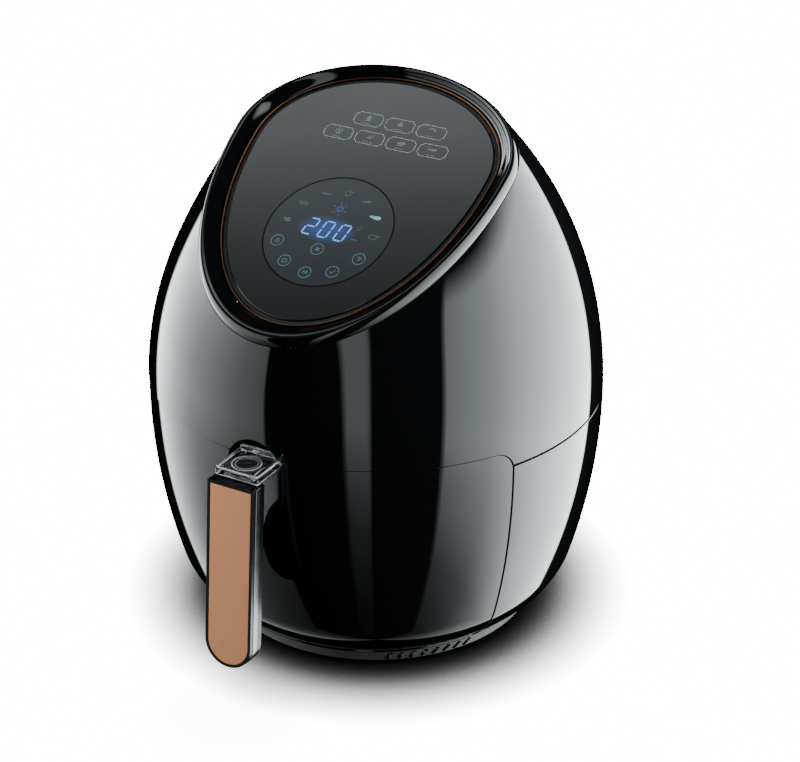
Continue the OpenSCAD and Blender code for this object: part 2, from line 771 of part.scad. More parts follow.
// Grooves that the button's cover slides in
groove_x = 14.2;
module cover_grooves() {
    for (side = [-1, 1])
        translate([side * groove_x - 1.1, -183, bracket_top_z - 3.2]) cube([2.2, 40, 10]);
}
module handle_bracket() {
    color(dark) difference() {
        translate([-bracket_half_w, 0, 0]) rotate([90, 0, 90]) linear_extrude(2 * bracket_half_w)
            difference() {
                polygon([
                    [grip_top_y + grip_depth - 13, bracket_top_z], [bracket_back_y, bracket_top_z],
                    [bracket_back_y, 151.5], [-159, 151.5], [-166, 150],
                    [-171, 146], [-174, 140], [-175.4, 132],
                    [grip_top_y + 9, 130], [grip_top_y - 0.5, 150]
                ]);
                translate([grip_top_y, grip_top_z]) rotate(-grip_lean)
                    translate([-30, -140]) square([30 + grip_depth, 141]);
            }
        // well of the button, its spring's seat and the hole of its stem
        button_well();
        translate([0, button_y, lever_floor_z]) cylinder(r = spring_seat_r, h = 16, $fn = 36);
        // lever's cavity, open towards the drawer
        translate([-lever_bay_w / 2, -171, lever_floor_z]) cube([lever_bay_w, 30, lever_bay_h]);
        translate([-20, pin_y, pin_z]) rotate([0, 90, 0]) cylinder(r = pin_r, h = 40, $fn = 30);
        cover_grooves();
        translate([-bracket_half_w - 1, -151, strap_z - 0.1]) cube([2 * bracket_half_w + 2, 10, 1.8]);
    }
}
module handle_grip() {
    color(black) difference() {
        on_grip() difference() {
            union() {
                grip_bar(grip_w, 0, 3);
                grip_bar(grip_w - 4, 2.9, 8.1);
                grip_bar(grip_w, 8, grip_depth);
            }
            grip_bar(inlay_w + 0.2, -1, inlay_seat, 2);
        }
        button_well();
        cover_grooves();
    }
}
module grip_frame() {
    color(steel) on_grip() difference() {
        grip_bar(grip_w + 0.6, 3, 8);
        grip_bar(grip_w - 4, 2, 9, -3);
    }
}
module grip_inlay() {
    color(copper) on_grip() grip_bar(inlay_w, 0.2, inlay_seat, 2.1);
}
module handle_screws() {
    color(steel) for (side = [-1, 1])
        translate([side * strap_screw_x, -98.8, strap_screw_z]) rotate([90, 0, 0]) screw(1.7, 3.2, 3.4, 1.6);
}
module lever_pin() {
    color(steel) translate([-bracket_half_w + 1, pin_y, pin_z]) rotate([0, 90, 0])
        cylinder(r = pin_r, h = 2 * bracket_half_w - 2, $fn = 30);
}
lever_top_z = 161;
module latch_lever() {
    color(steel) difference() {
        union() {
            translate([-5, button_y - 2.5, lever_top_z - 3]) cube([10, pin_y - button_y + 10.5, 3]);
            translate([-5, pin_y, pin_z]) rotate([0, 90, 0]) cylinder(r = 2.8, h = 10, $fn = 30);
            translate([-5, -147.5, 140]) cube([10, 2, lever_top_z - 140]);
            translate([-5, -149.6, 141]) cube([10, 2.4, 2]);
        }
        translate([-6, pin_y, pin_z]) rotate([0, 90, 0]) cylinder(r = pin_r + 0.05, h = 12, $fn = 30);
    }
}
module pan_catch() {
    color(steel) difference() {
        translate([-12, -150, 132]) cube([24, 1.4, 15]);
        translate([-6, -152, 140]) cube([12, 5, 5]);
    }
}
button_top_z = 172.6;
module release_button() {
    color(dark) translate([0, button_y, 0]) difference() {
        union() {
            translate([0, 0, 169.8]) cylinder(r = button_r, h = button_top_z - 169.8, $fn = 60);
            translate([0, 0, lever_top_z + 1.6]) cylinder(r = 3, h = 8, $fn = 30);
            translate([-3, -0.9, lever_top_z + 0.4]) cube([6, 1.8, 3]);
        }
        translate([0, 0, button_top_z + 28.4]) sphere(r = 29, $fn = 60);
    }
}
spring_r = 6.4;
spring_turns = 3;
spring_z0 = 165.6;
spring_z1 = 169.7;
module button_spring() {
    wire = 0.4;
    per_turn = 16;
    count = spring_turns * per_turn;
    rise = spring_z1 - spring_z0 - 2 * wire;
    sides = 6;
    rings = [
        for (i = [0:count]) let (a = 360 * i / per_turn)
            [for (k = [0:sides - 1]) let (b = 360 * k / sides) [
                (spring_r + wire * cos(b)) * cos(a),
                button_y + (spring_r + wire * cos(b)) * sin(a),
                spring_z0 + wire + rise * i / count + wire * sin(b)
            ]]
    ];
    faces = [
        for (j = [0:count - 1], i = [0:sides - 1])
            let (next = (i + 1) % sides)
            [j * sides + i, j * sides + next, (j + 1) * sides + next, (j + 1) * sides + i]
    ];
    color(steel) polyhedron(
        [for (ring = rings) for (p = ring) p],
        concat(faces, [[for (i = [sides - 1:-1:0]) i], [for (i = [0:sides - 1]) count * sides + i]]),
        convexity = 6);
}
cover_half_w = 16;
cover_front_y = -177.5;
cover_back_y = -148.5;
cover_z0 = bracket_top_z + 0.3;
cover_top_z = 177.4;
module button_cover() {
    color([0.85, 0.9, 0.92, 0.4]) difference() {
        union() {
            translate([-cover_half_w, cover_front_y, cover_z0])
                cube([2 * cover_half_w, cover_back_y - cover_front_y, cover_top_z - cover_z0]);
            for (side = [-1, 1])
                translate([side * groove_x - 0.7, -170, bracket_top_z - 2.8])
                    cube([1.4, 170 + cover_back_y, 4]);
            translate([-14, cover_back_y - 3.2, cover_top_z - 0.1]) cube([28, 3.2, 3.6]);
        }
        translate([-10.4, button_y - 9.8, cover_z0 - 1]) cube([20.8, 40, 3.2]);
    }
}

upper_shell();
lower_shell();
base_pan();
base_ring();
feet();
foot_screws();
base_screws();
rear_vent_cover();
exhaust_duct();
cord_gland();
panel_rim();
trim_ring();
glass_panel();
panel_tray();
display_module();
touch_board();
board_spacers();
power_board();
inner_housing();
drawer_rails();
chamber_top();
heat_reflector();
heating_element();
element_clips();
heater_guard();
motor();
motor_bracket();
cooling_shroud();
temperature_probe();
thermal_fuse();
drawer_switch();
switch_plunger();
motor_shaft();
convection_fan();
cooling_fan();
fan_nut();
drawer_front();
drawer_inner();
pan();
pan_catch();
basket();
basket_bumpers();
basket_strap();
handle_bracket();
handle_grip();
grip_frame();
grip_inlay();
handle_screws();
lever_pin();
button_spring();
release_button();
latch_lever();
button_cover();
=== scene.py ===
"""Looks of the hot-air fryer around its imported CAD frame. Shape functions work in millimetres."""
import json
import math

import bmesh
import bpy
import numpy as np
from mathutils import Matrix, Vector
from mathutils.geometry import delaunay_2d_cdt


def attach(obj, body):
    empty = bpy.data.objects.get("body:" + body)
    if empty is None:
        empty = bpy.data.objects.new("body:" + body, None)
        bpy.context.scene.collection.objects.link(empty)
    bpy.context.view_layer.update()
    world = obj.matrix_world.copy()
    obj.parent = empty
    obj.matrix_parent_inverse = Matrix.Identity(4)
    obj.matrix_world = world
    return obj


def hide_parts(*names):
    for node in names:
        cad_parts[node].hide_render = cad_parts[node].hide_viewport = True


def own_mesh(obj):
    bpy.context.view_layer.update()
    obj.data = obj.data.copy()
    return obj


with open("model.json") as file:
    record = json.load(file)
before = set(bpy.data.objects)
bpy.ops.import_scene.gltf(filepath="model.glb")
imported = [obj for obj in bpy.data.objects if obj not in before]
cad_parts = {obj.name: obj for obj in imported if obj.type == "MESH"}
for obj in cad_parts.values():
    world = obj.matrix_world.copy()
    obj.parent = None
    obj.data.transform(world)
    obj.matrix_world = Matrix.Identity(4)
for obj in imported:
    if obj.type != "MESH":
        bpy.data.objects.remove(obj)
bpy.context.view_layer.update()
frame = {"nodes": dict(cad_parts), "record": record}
MM = 0.001


# ---------------------------------------------------------------- driving sizes, in millimetres
BODY_R = 158.0
WIDEST_Z = 163.0
UPPER_ARC = 318.0
LOWER_ARC = 410.0
SHELL_BOTTOM_Z = 14.0
SEAM_Z = 168.0
GAP = 0.5
SEAM_DROP = 0.9
SHELL_WALL = 2.6
LIP = 0.35
CHIN_TOP_Z = 46.0
CHIN_PULL = 14.0
DRAWER_TOP_Z = 178.5
DRAWER_BOTTOM_Z = 15.5
DRAWER_HALF_ANGLE = math.radians(64.3)
DRAWER_CORNER_R = 14.0
FRONT_STEP = 0.7
FRONT_WALL = 3.0
NOTCH_HALF_W = 20.0
NOTCH_Z = 147.0
NOTCH_R = 2.0
ARCH_R = 20.0
ARCH_Z = 170.0
VENT_HALF_W = 40.0
VENT_Z = (212.0, 252.0)

TILT = math.radians(30.5)
PANEL_Z = 335.5
OUTLINE_CENTRE = -5.0
RIM = (104.5, 73.0, 160.0)
GLASS = (86.5, 62.0, 138.0)
INNER_GROW = 5.5
DISPLAY_V = -71.0
DISPLAY_R = 44.5
DIGITS_V = DISPLAY_V + 1.0

BUTTON_Y = -165.0
COVER_X = 16.0
COVER_Y = (-177.5, -148.5)
COVER_Z = (171.3, 177.4)
COVER_MOUTH_X = 11.2
# bars of painted highlight along the clear cover's edges: their radius and inset
EDGE_R = 0.42
EDGE_IN = 0.45
# painted highlights on the cover's lens: ring radius, depth and bar radius
LENS_RING_HIGHLIGHTS = ((9.6, 0.1, 0.35), (7.4, 0.15, 0.22))


def mix(a, b, f):
    return a + (b - a) * f


def egg_r(z):
    """Radius of the egg's skin at height z."""
    bend = np.where(z < WIDEST_Z, LOWER_ARC, UPPER_ARC)
    t = np.clip((CHIN_TOP_Z - z) / (CHIN_TOP_Z - SHELL_BOTTOM_Z), 0, None)
    return BODY_R - bend + np.sqrt(bend * bend - (z - WIDEST_Z) ** 2) - CHIN_PULL * t * t


def panel_point(u, v, h):
    """A point of the glass's frame: x, distance up the slope, height above the glass."""
    u, v, h = np.broadcast_arrays(*(np.asarray(a, float) for a in (u, v, h)))
    return np.stack([
        u,
        v * math.cos(TILT) - h * math.sin(TILT),
        PANEL_Z + v * math.sin(TILT) + h * math.cos(TILT),
    ], -1)


def egg_outline(size, turn):
    """Two half ellipses in the glass's plane; turn is 0 at the front and grows towards +X."""
    w, back, front = size
    reach = np.where(np.cos(turn) > 0, front, back)
    return w * np.sin(turn), OUTLINE_CENTRE - reach * np.cos(turn)


def grown(size, grow):
    return tuple(s + grow for s in size)


def rim_size(f):
    """Outline between the rim's outer edge (f = 0) and its inner one (f = 1)."""
    return tuple(mix(a, b, f) for a, b in zip(RIM, grown(GLASS, INNER_GROW)))


# ---------------------------------------------------------------- materials
def node(tree, kind, **values):
    """New node; each value goes to the attribute of that name, or else to the input."""
    n = tree.nodes.new(kind)
    for key, value in values.items():
        if hasattr(n, key):
            setattr(n, key, value)
        else:
            n.inputs[key.replace("_", " ")].default_value = value
    return n


def ranged(tree, source, low, high, start=0.3, end=0.7):
    """Output that goes from low to high as source goes from start to end."""
    n = tree.nodes.new("ShaderNodeMapRange")
    for socket, value in zip(("From Min", "From Max", "To Min", "To Max"), (start, end, low, high)):
        n.inputs[socket].default_value = value
    tree.links.new(source, n.inputs["Value"])
    return n.outputs["Result"]


# Colour sockets of a Mix node
COLOR_A = 6
COLOR_B = 7
COLOR_OUT = 2


def finish(name, color, roughness, metallic=0.0, tint=0.10, spread=0.15, grain=60.0, bump=0.0,
           stretch=(1, 1, 1), fine=900.0, **sockets):
    """Principled material whose colour and roughness vary with noise, with an optional fine bump."""
    m = bpy.data.materials.new(name)
    m.use_nodes = True
    tree = m.node_tree
    bsdf = tree.nodes["Principled BSDF"]
    coords = node(tree, "ShaderNodeTexCoord")
    mapping = node(tree, "ShaderNodeMapping")
    mapping.inputs["Scale"].default_value = stretch
    tree.links.new(coords.outputs["Object"], mapping.inputs["Vector"])
    noise = node(tree, "ShaderNodeTexNoise", Scale=grain, Detail=4.0)
    tree.links.new(mapping.outputs["Vector"], noise.inputs["Vector"])
    shade = node(tree, "ShaderNodeMix", data_type="RGBA")
    shade.inputs[COLOR_A].default_value = (*(c * (1 - tint) for c in color), 1)
    shade.inputs[COLOR_B].default_value = (*(min(1, c * (1 + tint)) for c in color), 1)
    tree.links.new(noise.outputs["Fac"], shade.inputs["Factor"])
    tree.links.new(shade.outputs[COLOR_OUT], bsdf.inputs["Base Color"])
    rough = ranged(tree, noise.outputs["Fac"], roughness * (1 - spread), roughness * (1 + spread))
    tree.links.new(rough, bsdf.inputs["Roughness"])
    bsdf.inputs["Metallic"].default_value = metallic
    for key, value in sockets.items():
        bsdf.inputs[key.replace("_", " ")].default_value = value
    if bump:
        grit = node(tree, "ShaderNodeTexNoise", Scale=fine, Detail=3.0)
        tree.links.new(mapping.outputs["Vector"], grit.inputs["Vector"])
        relief = node(tree, "ShaderNodeBump", Strength=bump, Distance=0.0003)
        tree.links.new(grit.outputs["Fac"], relief.inputs["Height"])
        tree.links.new(relief.outputs["Normal"], bsdf.inputs["Normal"])
    return m


BRUSHED = (1, 1, 40)
materials = {
    "gloss_black": finish("gloss_black", (0.0035, 0.0037, 0.0042), 0.035, spread=0.2, grain=9, tint=0.15),
    "matte_black": finish("matte_black", (0.018, 0.018, 0.020), 0.46, bump=0.22, fine=1500),
    "dark_grey": finish("dark_grey", (0.045, 0.046, 0.050), 0.30, bump=0.12, fine=1800),
    "copper_trim": finish("copper_trim", (0.62, 0.265, 0.135), 0.38, metallic=1.0, tint=0.06,
                          grain=30, bump=0.10, fine=2500, stretch=(1, 1, 0.2)),
    "smoked_glass": finish("smoked_glass", (0.005, 0.0056, 0.0062), 0.12, spread=0.1, grain=14, tint=0.08),
    "display": finish("display", (0.010, 0.014, 0.022), 0.16, spread=0.1, grain=20, tint=0.15),
    "circuit_board": finish("circuit_board", (0.02, 0.11, 0.05), 0.42, grain=220, tint=0.35, bump=0.1),
    "rubber": finish("rubber", (0.020, 0.020, 0.021), 0.72, bump=0.35, fine=1300),
    "silicone": finish("silicone", (0.10, 0.10, 0.105), 0.55, bump=0.15),
    "screw_steel": finish("screw_steel", (0.50, 0.51, 0.53), 0.30, metallic=1.0, grain=250, bump=0.08),
    "sheet_steel": finish("sheet_steel", (0.52, 0.53, 0.55), 0.36, metallic=1.0, grain=70, tint=0.16,
                          bump=0.08, stretch=BRUSHED),
    "chrome_trim": finish("chrome_trim", (0.075, 0.078, 0.082), 0.24, metallic=1.0, grain=80, tint=0.1),
    "element_steel": finish("element_steel", (0.16, 0.15, 0.14), 0.42, metallic=1.0, grain=160,
                            tint=0.4, bump=0.2),
    "nonstick": finish("nonstick", (0.020, 0.020, 0.021), 0.34, grain=400, tint=0.3, bump=0.25, fine=2600),
    "spring_steel": finish("spring_steel", (0.55, 0.55, 0.57), 0.24, metallic=1.0, grain=300),
    "aluminium_fan": finish("aluminium_fan", (0.66, 0.67, 0.68), 0.32, metallic=1.0, grain=90,
                            bump=0.06, stretch=(1, 1, 12)),
    "clear_cover": finish("clear_cover", (0.93, 0.95, 0.96), 0.03, spread=0.3, tint=0.02,
                          Transmission_Weight=1.0, IOR=1.49),
}
prints = {
    "print_white": finish("print_white", (0.50, 0.53, 0.55), 0.35, tint=0.2, grain=700),
    "print_dim": finish("print_dim", (0.26, 0.29, 0.30), 0.35, tint=0.25, grain=700),
    # painted shade: near-black and hardly reflecting, for the display's engraved groove
    "groove_shade_black": finish("groove_shade_black", (0.002, 0.002, 0.0025), 0.2, tint=0.2, grain=40,
                        Specular_IOR_Level=0.1),
    "grip_black": finish("grip_black", (0.003, 0.003, 0.0035), 0.22, tint=0.2, grain=40,
                         Specular_IOR_Level=0.12),
    # painted highlight: whitish, half-clear material for the bars on the clear cover's edges and lens
    "painted_edge_highlight": finish("painted_edge_highlight", (0.80, 0.83, 0.85), 0.18, tint=0.06, grain=90,
                         Transmission_Weight=0.55, IOR=1.49),
}


def lit(name, color, strength, grain=900.0, base=None):
    """Backlit print: emission that varies a little over the symbol; base is the colour of its ground."""
    m = finish(name, base or tuple(c * 0.2 for c in color), 0.16 if base else 0.3, grain=grain)
    tree = m.node_tree
    bsdf = tree.nodes["Principled BSDF"]
    noise = node(tree, "ShaderNodeTexNoise", Scale=grain, Detail=2.0)
    coords = node(tree, "ShaderNodeTexCoord")
    tree.links.new(coords.outputs["Object"], noise.inputs["Vector"])
    shade = node(tree, "ShaderNodeMix", data_type="RGBA")
    shade.inputs[COLOR_A].default_value = (*(c * 0.8 for c in color), 1)
    shade.inputs[COLOR_B].default_value = (*(min(1, c * 1.15) for c in color), 1)
    tree.links.new(noise.outputs["Fac"], shade.inputs["Factor"])
    tree.links.new(shade.outputs[COLOR_OUT], bsdf.inputs["Emission Color"])
    bsdf.inputs["Emission Strength"].default_value = strength
    return m


def squared(tree, source):
    """Square of source; its size comes first, since a power of a negative value gives nothing."""
    size = node(tree, "ShaderNodeMath", operation="ABSOLUTE")
    tree.links.new(source, size.inputs[0])
    square = node(tree, "ShaderNodeMath", operation="POWER")
    square.inputs[1].default_value = 2.0
    tree.links.new(size.outputs[0], square.inputs[0])
    return square.outputs[0]


def faded(material, centre, radii, strength):
    """Makes the material's emission fall off from an ellipse's centre, in the glass's plane."""
    tree = material.node_tree
    coords = node(tree, "ShaderNodeTexCoord")
    place = node(tree, "ShaderNodeVectorMath", operation="SUBTRACT")
    place.inputs[1].default_value = panel_point(centre[0], centre[1], 0) * MM
    tree.links.new(coords.outputs["Object"], place.inputs[0])
    total = node(tree, "ShaderNodeMath", operation="ADD")
    directions = ((1, 0, 0), (0, math.cos(TILT), math.sin(TILT)))
    for direction, r, socket in zip(directions, radii, total.inputs):
        along = node(tree, "ShaderNodeVectorMath", operation="DOT_PRODUCT")
        along.inputs[1].default_value = [c / (r * MM) for c in direction]
        tree.links.new(place.outputs[0], along.inputs[0])
        tree.links.new(squared(tree, along.outputs["Value"]), socket)
    level = ranged(tree, total.outputs[0], strength, 0.0, 0.0, 1.0)
    tree.links.new(level, tree.nodes["Principled BSDF"].inputs["Emission Strength"])
    return material


# painted shade: a darker copy of the copper, for the thin trim line around the glass
prints["copper_line_in_shade"] = finish("copper_line_in_shade", (0.20, 0.095, 0.055), 0.36, metallic=1.0, tint=0.3, grain=18)
DISPLAY_BASE = (0.010, 0.014, 0.022)
prints["lit_blue"] = lit("lit_blue", (0.17, 0.40, 0.98), 1.25)
GLOW_CENTRE = (-1.7, DIGITS_V)
GLOW_R = (22.0, 11.0)
prints["lit_glow"] = faded(lit("lit_glow", (0.012, 0.07, 0.34), 0.3, 60, DISPLAY_BASE),
                           GLOW_CENTRE, GLOW_R, 0.62)
prints["lit_teal"] = lit("lit_teal", (0.14, 0.38, 0.40), 0.36)
prints["lit_cyan"] = lit("lit_cyan", (0.25, 0.65, 0.75), 0.75)
prints["lit_fan"] = lit("lit_fan", (0.09, 0.12, 0.34), 0.50)
prints["lit_dim"] = lit("lit_dim", (0.20, 0.28, 0.30), 0.22)

subpart_slot = {s["node"]: s["material_slot"] for s in frame["record"]["subparts"]}
for name, ob in frame["nodes"].items():
    ob.data.materials.clear()
    ob.data.materials.append(materials[subpart_slot[name]])


# ---------------------------------------------------------------- mesh helpers
def add_piece(name, verts, faces, body, slot, material=None, replaces=(), normals=None, sharp=35.0):
    """New object from millimetre points; smooth, with given normals or edges kept above sharp degrees."""
    mesh = bpy.data.meshes.new(name)
    faces = [tuple(int(i) for i in f) for f in faces]
    mesh.from_pydata((np.asarray(verts, float) * MM).tolist(), [], faces)
    mesh.update()
    mesh.polygons.foreach_set("use_smooth", [True] * len(mesh.polygons))
    if normals is None:
        mesh.set_sharp_from_angle(angle=math.radians(sharp))
    else:
        mesh.normals_split_custom_set_from_vertices([tuple(n) for n in normals])
    mesh.materials.append(material or materials[slot])
    ob = bpy.data.objects.new(name, mesh)
    bpy.context.scene.collection.objects.link(ob)
    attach(ob, body)
    if replaces:
        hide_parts(*replaces)
    return ob


def unit(v):
    """Vectors along the last axis, scaled to length 1."""
    return v / np.maximum(np.linalg.norm(v, axis=-1, keepdims=True), 1e-12)


def resampled(points, step):
    """Closed polyline with its long edges divided."""
    points = np.asarray(points, float)
    out = []
    for a, b in zip(points, np.roll(points, -1, 0)):
        n = max(1, math.ceil(np.linalg.norm(b - a) / step - 1e-9))
        out += [mix(a, b, i / n) for i in range(n)]
    return np.array(out)


def is_inside(points, loop):
    """For each point, whether it lies inside the closed loop."""
    x, y = points[:, :1], points[:, 1:]
    a, b = loop, np.roll(loop, -1, 0)
    crosses = (a[:, 1] > y) != (b[:, 1] > y)
    with np.errstate(divide="ignore", invalid="ignore"):
        at = (b[:, 0] - a[:, 0]) * (y - a[:, 1]) / (b[:, 1] - a[:, 1]) + a[:, 0]
    return (crosses & (x < at)).sum(1) % 2 == 1


def distance_to(points, loop):
    """For each point, its distance to the nearest side of the closed loop."""
    a, b = loop, np.roll(loop, -1, 0)
    d = b - a
    best = np.full(len(points), np.inf)
    for p, q in zip(a, d):
        t = np.clip(((points - p) @ q) / max(q @ q, 1e-12), 0, 1)
        best = np.minimum(best, np.linalg.norm(points - p - t[:, None] * q, axis=1))
    return best


ROW_PITCH = 0.87
EDGE_CLEAR = 0.55


def triangulated(loops, step):
    """Points and triangles that fill loops[0] less the other loops, over a staggered grid."""
    low, high = loops[0].min(0), loops[0].max(0)
    rows = np.arange(low[1] + step / 2, high[1], step * ROW_PITCH)
    grid = [
        np.arange(low[0] + step * (0.25 + 0.5 * (i % 2)), high[0], step)[:, None]
        for i in range(len(rows))
    ]
    grid = np.concatenate([np.hstack([g, np.full((len(g), 1), y)]) for g, y in zip(grid, rows)])
    grid = grid[is_inside(grid, loops[0])]
    for hole in loops[1:]:
        grid = grid[~is_inside(grid, hole)]
    for loop in loops:
        grid = grid[distance_to(grid, loop) > EDGE_CLEAR * step]
    points = np.concatenate([*loops, grid])
    edges, start = [], 0
    for loop in loops:
        n = len(loop)
        edges += [(start + i, start + (i + 1) % n) for i in range(n)]
        start += n
    out = delaunay_2d_cdt([Vector(p) for p in points], edges, [], 0, 1e-7)
    if len(out[0]) != len(points):
        raise ValueError("the outline crosses itself")
    tris = np.array(out[2])
    middle = points[tris].mean(1)
    keep = is_inside(middle, loops[0])
    for hole in loops[1:]:
        keep &= ~is_inside(middle, hole)
    return points, tris[keep]


LIP_STEPS = 4
WELDS_PER_MM = 500
NUDGE = 0.05


def add_patch(name, surface, loops, body, slot, step=4.0, wall=SHELL_WALL, lip=LIP, seam=None,
              replaces=(), extra=()):
    """Closed sheet on surface(u, v) with rounded edges. The loops run with the solid on their left;
    seam gives the two u values where a full ring is joined to itself, and extra adds closed bars."""
    loops = [resampled(loop, step) for loop in loops]
    uv, tris = triangulated(loops, step)
    p = surface(uv)
    along_u = surface(uv + [NUDGE, 0]) - surface(uv - [NUDGE, 0])
    along_v = surface(uv + [0, NUDGE]) - surface(uv - [0, NUDGE])
    n = unit(np.cross(along_u, along_v))
    count = len(uv)
    verts, normals = [p, p - wall * n], [n, -n]
    faces = [tuple(t) for t in tris] + [tuple(t[::-1] + count) for t in tris]
    start, base = 0, 2 * count
    for loop in loops:
        k = len(loop)
        ids = np.arange(start, start + k)
        nxt = np.roll(ids, -1)
        seamed = np.zeros(k, bool)
        if seam:
            for u in seam:
                seamed |= (abs(uv[ids, 0] - u) < 1e-6) & (abs(uv[nxt, 0] - u) < 1e-6)
        edge = unit(p[nxt] - p[ids]) * (~seamed)[:, None]
        tangent = unit(edge + np.roll(edge, 1, 0))
        into = unit(np.cross(n[ids], tangent))
        rows = [ids]
        for j in range(1, LIP_STEPS + 1):
            a = math.pi / 2 * j / LIP_STEPS
            verts.append(p[ids] - into * lip * math.sin(a) - n[ids] * lip * (1 - math.cos(a)))
            normals.append(n[ids] * math.cos(a) - into * math.sin(a))
            rows.append(np.arange(base, base + k))
            base += k
        rows.append(ids + count)
        for lower, upper in zip(rows, rows[1:]):
            for i in range(k):
                if not seamed[i]:
                    j = (i + 1) % k
                    faces.append((lower[i], upper[i], upper[j], lower[j]))
        start += k
    for more_verts, more_normals, more_faces in extra:
        faces += [tuple(i + base for i in f) for f in more_faces]
        verts.append(more_verts)
        normals.append(more_normals)
        base += len(more_verts)
    verts, normals = np.concatenate(verts), np.concatenate(normals)
    rounded = np.round(verts * WELDS_PER_MM).astype(int)
    _, first, same = np.unique(rounded, axis=0, return_index=True, return_inverse=True)
    same = same.reshape(-1)
    faces = [tuple(dict.fromkeys(same[i] for i in f)) for f in faces]
    faces = [f for f in faces if len(f) > 2]
    used = np.unique(np.concatenate([np.array(f) for f in faces]))
    place = {int(u): i for i, u in enumerate(used)}
    faces = [tuple(place[int(i)] for i in f) for f in faces]
    return add_piece(name, verts[first[used]], faces, body, slot, normals=normals[first[used]],
                     replaces=replaces)


def arc(cx, cy, r, a0, a1, n):
    """Points of an arc, in degrees, both ends included."""
    return [(cx + r * math.cos(math.radians(mix(a0, a1, i / n))),
             cy + r * math.sin(math.radians(mix(a0, a1, i / n)))) for i in range(n + 1)]


# ---------------------------------------------------------------- shells and drawer front
def drawer_corner(grow):
    """Centre and radius of the drawer opening's upper right corner, as arc length and z."""
    half = DRAWER_HALF_ANGLE * BODY_R + grow
    r = DRAWER_CORNER_R + grow
    return half - r, DRAWER_TOP_Z + grow - r, r


def round_egg(step_in):
    """Surface of the egg, step_in below its skin; u is the arc length at the widest place, v is z."""
    def surface(uv):
        a, z = uv[:, 0] / BODY_R, uv[:, 1]
        r = egg_r(z) - step_in
        return np.stack([r * np.sin(a), -r * np.cos(a), z], -1)
    return surface


def turn_at(x, z, step_in=0.0):
    """Arc length parameter of the point of the egg with this x and z, at the front."""
    return BODY_R * math.asin(x / (float(egg_r(np.float64(z))) - step_in))


front_cx, front_cz, front_cr = drawer_corner(-LIP)
front_half = front_cx + front_cr
front_top = DRAWER_TOP_Z - LIP
notch_x = NOTCH_HALF_W + LIP
notch_z = NOTCH_Z - LIP
notch_side = [(turn_at(notch_x, z, FRONT_STEP), z) for z in np.linspace(front_top, notch_z + 3, 8)]
front_loop = (
    [(-front_half, DRAWER_BOTTOM_Z + LIP), (front_half, DRAWER_BOTTOM_Z + LIP)]
    + arc(front_cx, front_cz, front_cr, 0, 90, 14)
    + notch_side
    + arc(notch_side[-1][0] - NOTCH_R, notch_z + NOTCH_R, NOTCH_R, 0, -90, 4)
    + arc(-notch_side[-1][0] + NOTCH_R, notch_z + NOTCH_R, NOTCH_R, 270, 180, 4)
    + [(-x, z) for x, z in notch_side[::-1]]
    + arc(-front_cx, front_cz, front_cr, 90, 180, 14)
)
add_patch("drawer_front_skin", round_egg(FRONT_STEP), [front_loop], "drawer", "gloss_black",
          wall=FRONT_WALL, replaces=["drawer_front"])

lower_cx, lower_cz, lower_cr = drawer_corner(GAP + LIP)
lower_top = SEAM_Z - SEAM_DROP - LIP
bow = [(x, z) for x, z in arc(lower_cx, lower_cz, lower_cr, 0, 12, 4) if z < lower_top]
around = 2 * math.pi * BODY_R
lower_loop = (
    [(lower_cx + lower_cr, SHELL_BOTTOM_Z + LIP), (around - lower_cx - lower_cr, SHELL_BOTTOM_Z + LIP)]
    + [(around - x, z) for x, z in bow]
    + [(around - bow[-1][0] + 0.05, lower_top), (bow[-1][0] - 0.05, lower_top)]
    + bow[::-1]
)


def arc_bar(a0, a1, section, steps):
    """Bar along an arc about the body's axis; the section is (r, z) points, counterclockwise."""
    verts, normals, faces = [], [], []
    m = len(section)
    for i in range(steps + 1):
        a = mix(a0, a1, i / steps)
        for r, z in section:
            verts.append((r * math.sin(a), -r * math.cos(a), z))
            normals.append((math.sin(a), -math.cos(a), 0))
    for i in range(steps):
        for j in range(m):
            k = (j + 1) % m
            faces.append((i * m + j, (i + 1) * m + j, (i + 1) * m + k, i * m + k))
    faces.append(tuple(range(m)))
    faces.append(tuple(steps * m + j for j in range(m - 1, -1, -1)))
    return np.array(verts), np.array(normals), faces


# Thin sill of the lower shell under the drawer front
SILL_OVERLAP = 0.004
sill_r = float(egg_r(np.float64(SHELL_BOTTOM_Z)))
sill = arc_bar(-DRAWER_HALF_ANGLE - SILL_OVERLAP, DRAWER_HALF_ANGLE + SILL_OVERLAP, [
    (sill_r - 1.1, SHELL_BOTTOM_Z), (sill_r + 0.2, SHELL_BOTTOM_Z + 0.2),
    (sill_r + 0.6, SHELL_BOTTOM_Z + 0.8), (sill_r - 1.1, SHELL_BOTTOM_Z + 0.9),
], 90)
add_patch("lower_shell_skin", round_egg(0.0), [lower_loop], "housing", "gloss_black",
          replaces=["lower_shell"], extra=[sill])

# The upper shell runs from the side seam (s = 0) to the rim's outer edge (s = 1)
SLOPE_UNIT = 150.0
UPPER_Z0 = SEAM_Z + GAP


def upper_parts(b):
    """Even turn, rim turn, rim height and rim radius for outline parameter b."""
    x, v = egg_outline(RIM, b)
    top = panel_point(x, v, 0.0)
    even = np.arctan2(x, OUTLINE_CENTRE - v)
    even += 2 * math.pi * np.round((b - even) / (2 * math.pi))
    rim_turn = np.arctan2(top[..., 0], -top[..., 1])
    rim_turn += 2 * math.pi * np.round((b - rim_turn) / (2 * math.pi))
    return even, rim_turn, top[..., 2], np.hypot(top[..., 0], top[..., 1])


def upper_surface(uv):
    """The upper shell: the egg at the seam, flaring out to the rim's edge at the top."""
    b, s = uv[:, 0] / BODY_R, uv[:, 1] / SLOPE_UNIT
    even, rim_turn, top_z, top_r = upper_parts(b)
    z = mix(UPPER_Z0, top_z, s)
    r = egg_r(z) + (top_r - egg_r(top_z)) * np.clip(s, 0, None) ** 3
    a = mix(even, rim_turn, s)
    return np.stack([r * np.sin(a), -r * np.cos(a), z], -1)


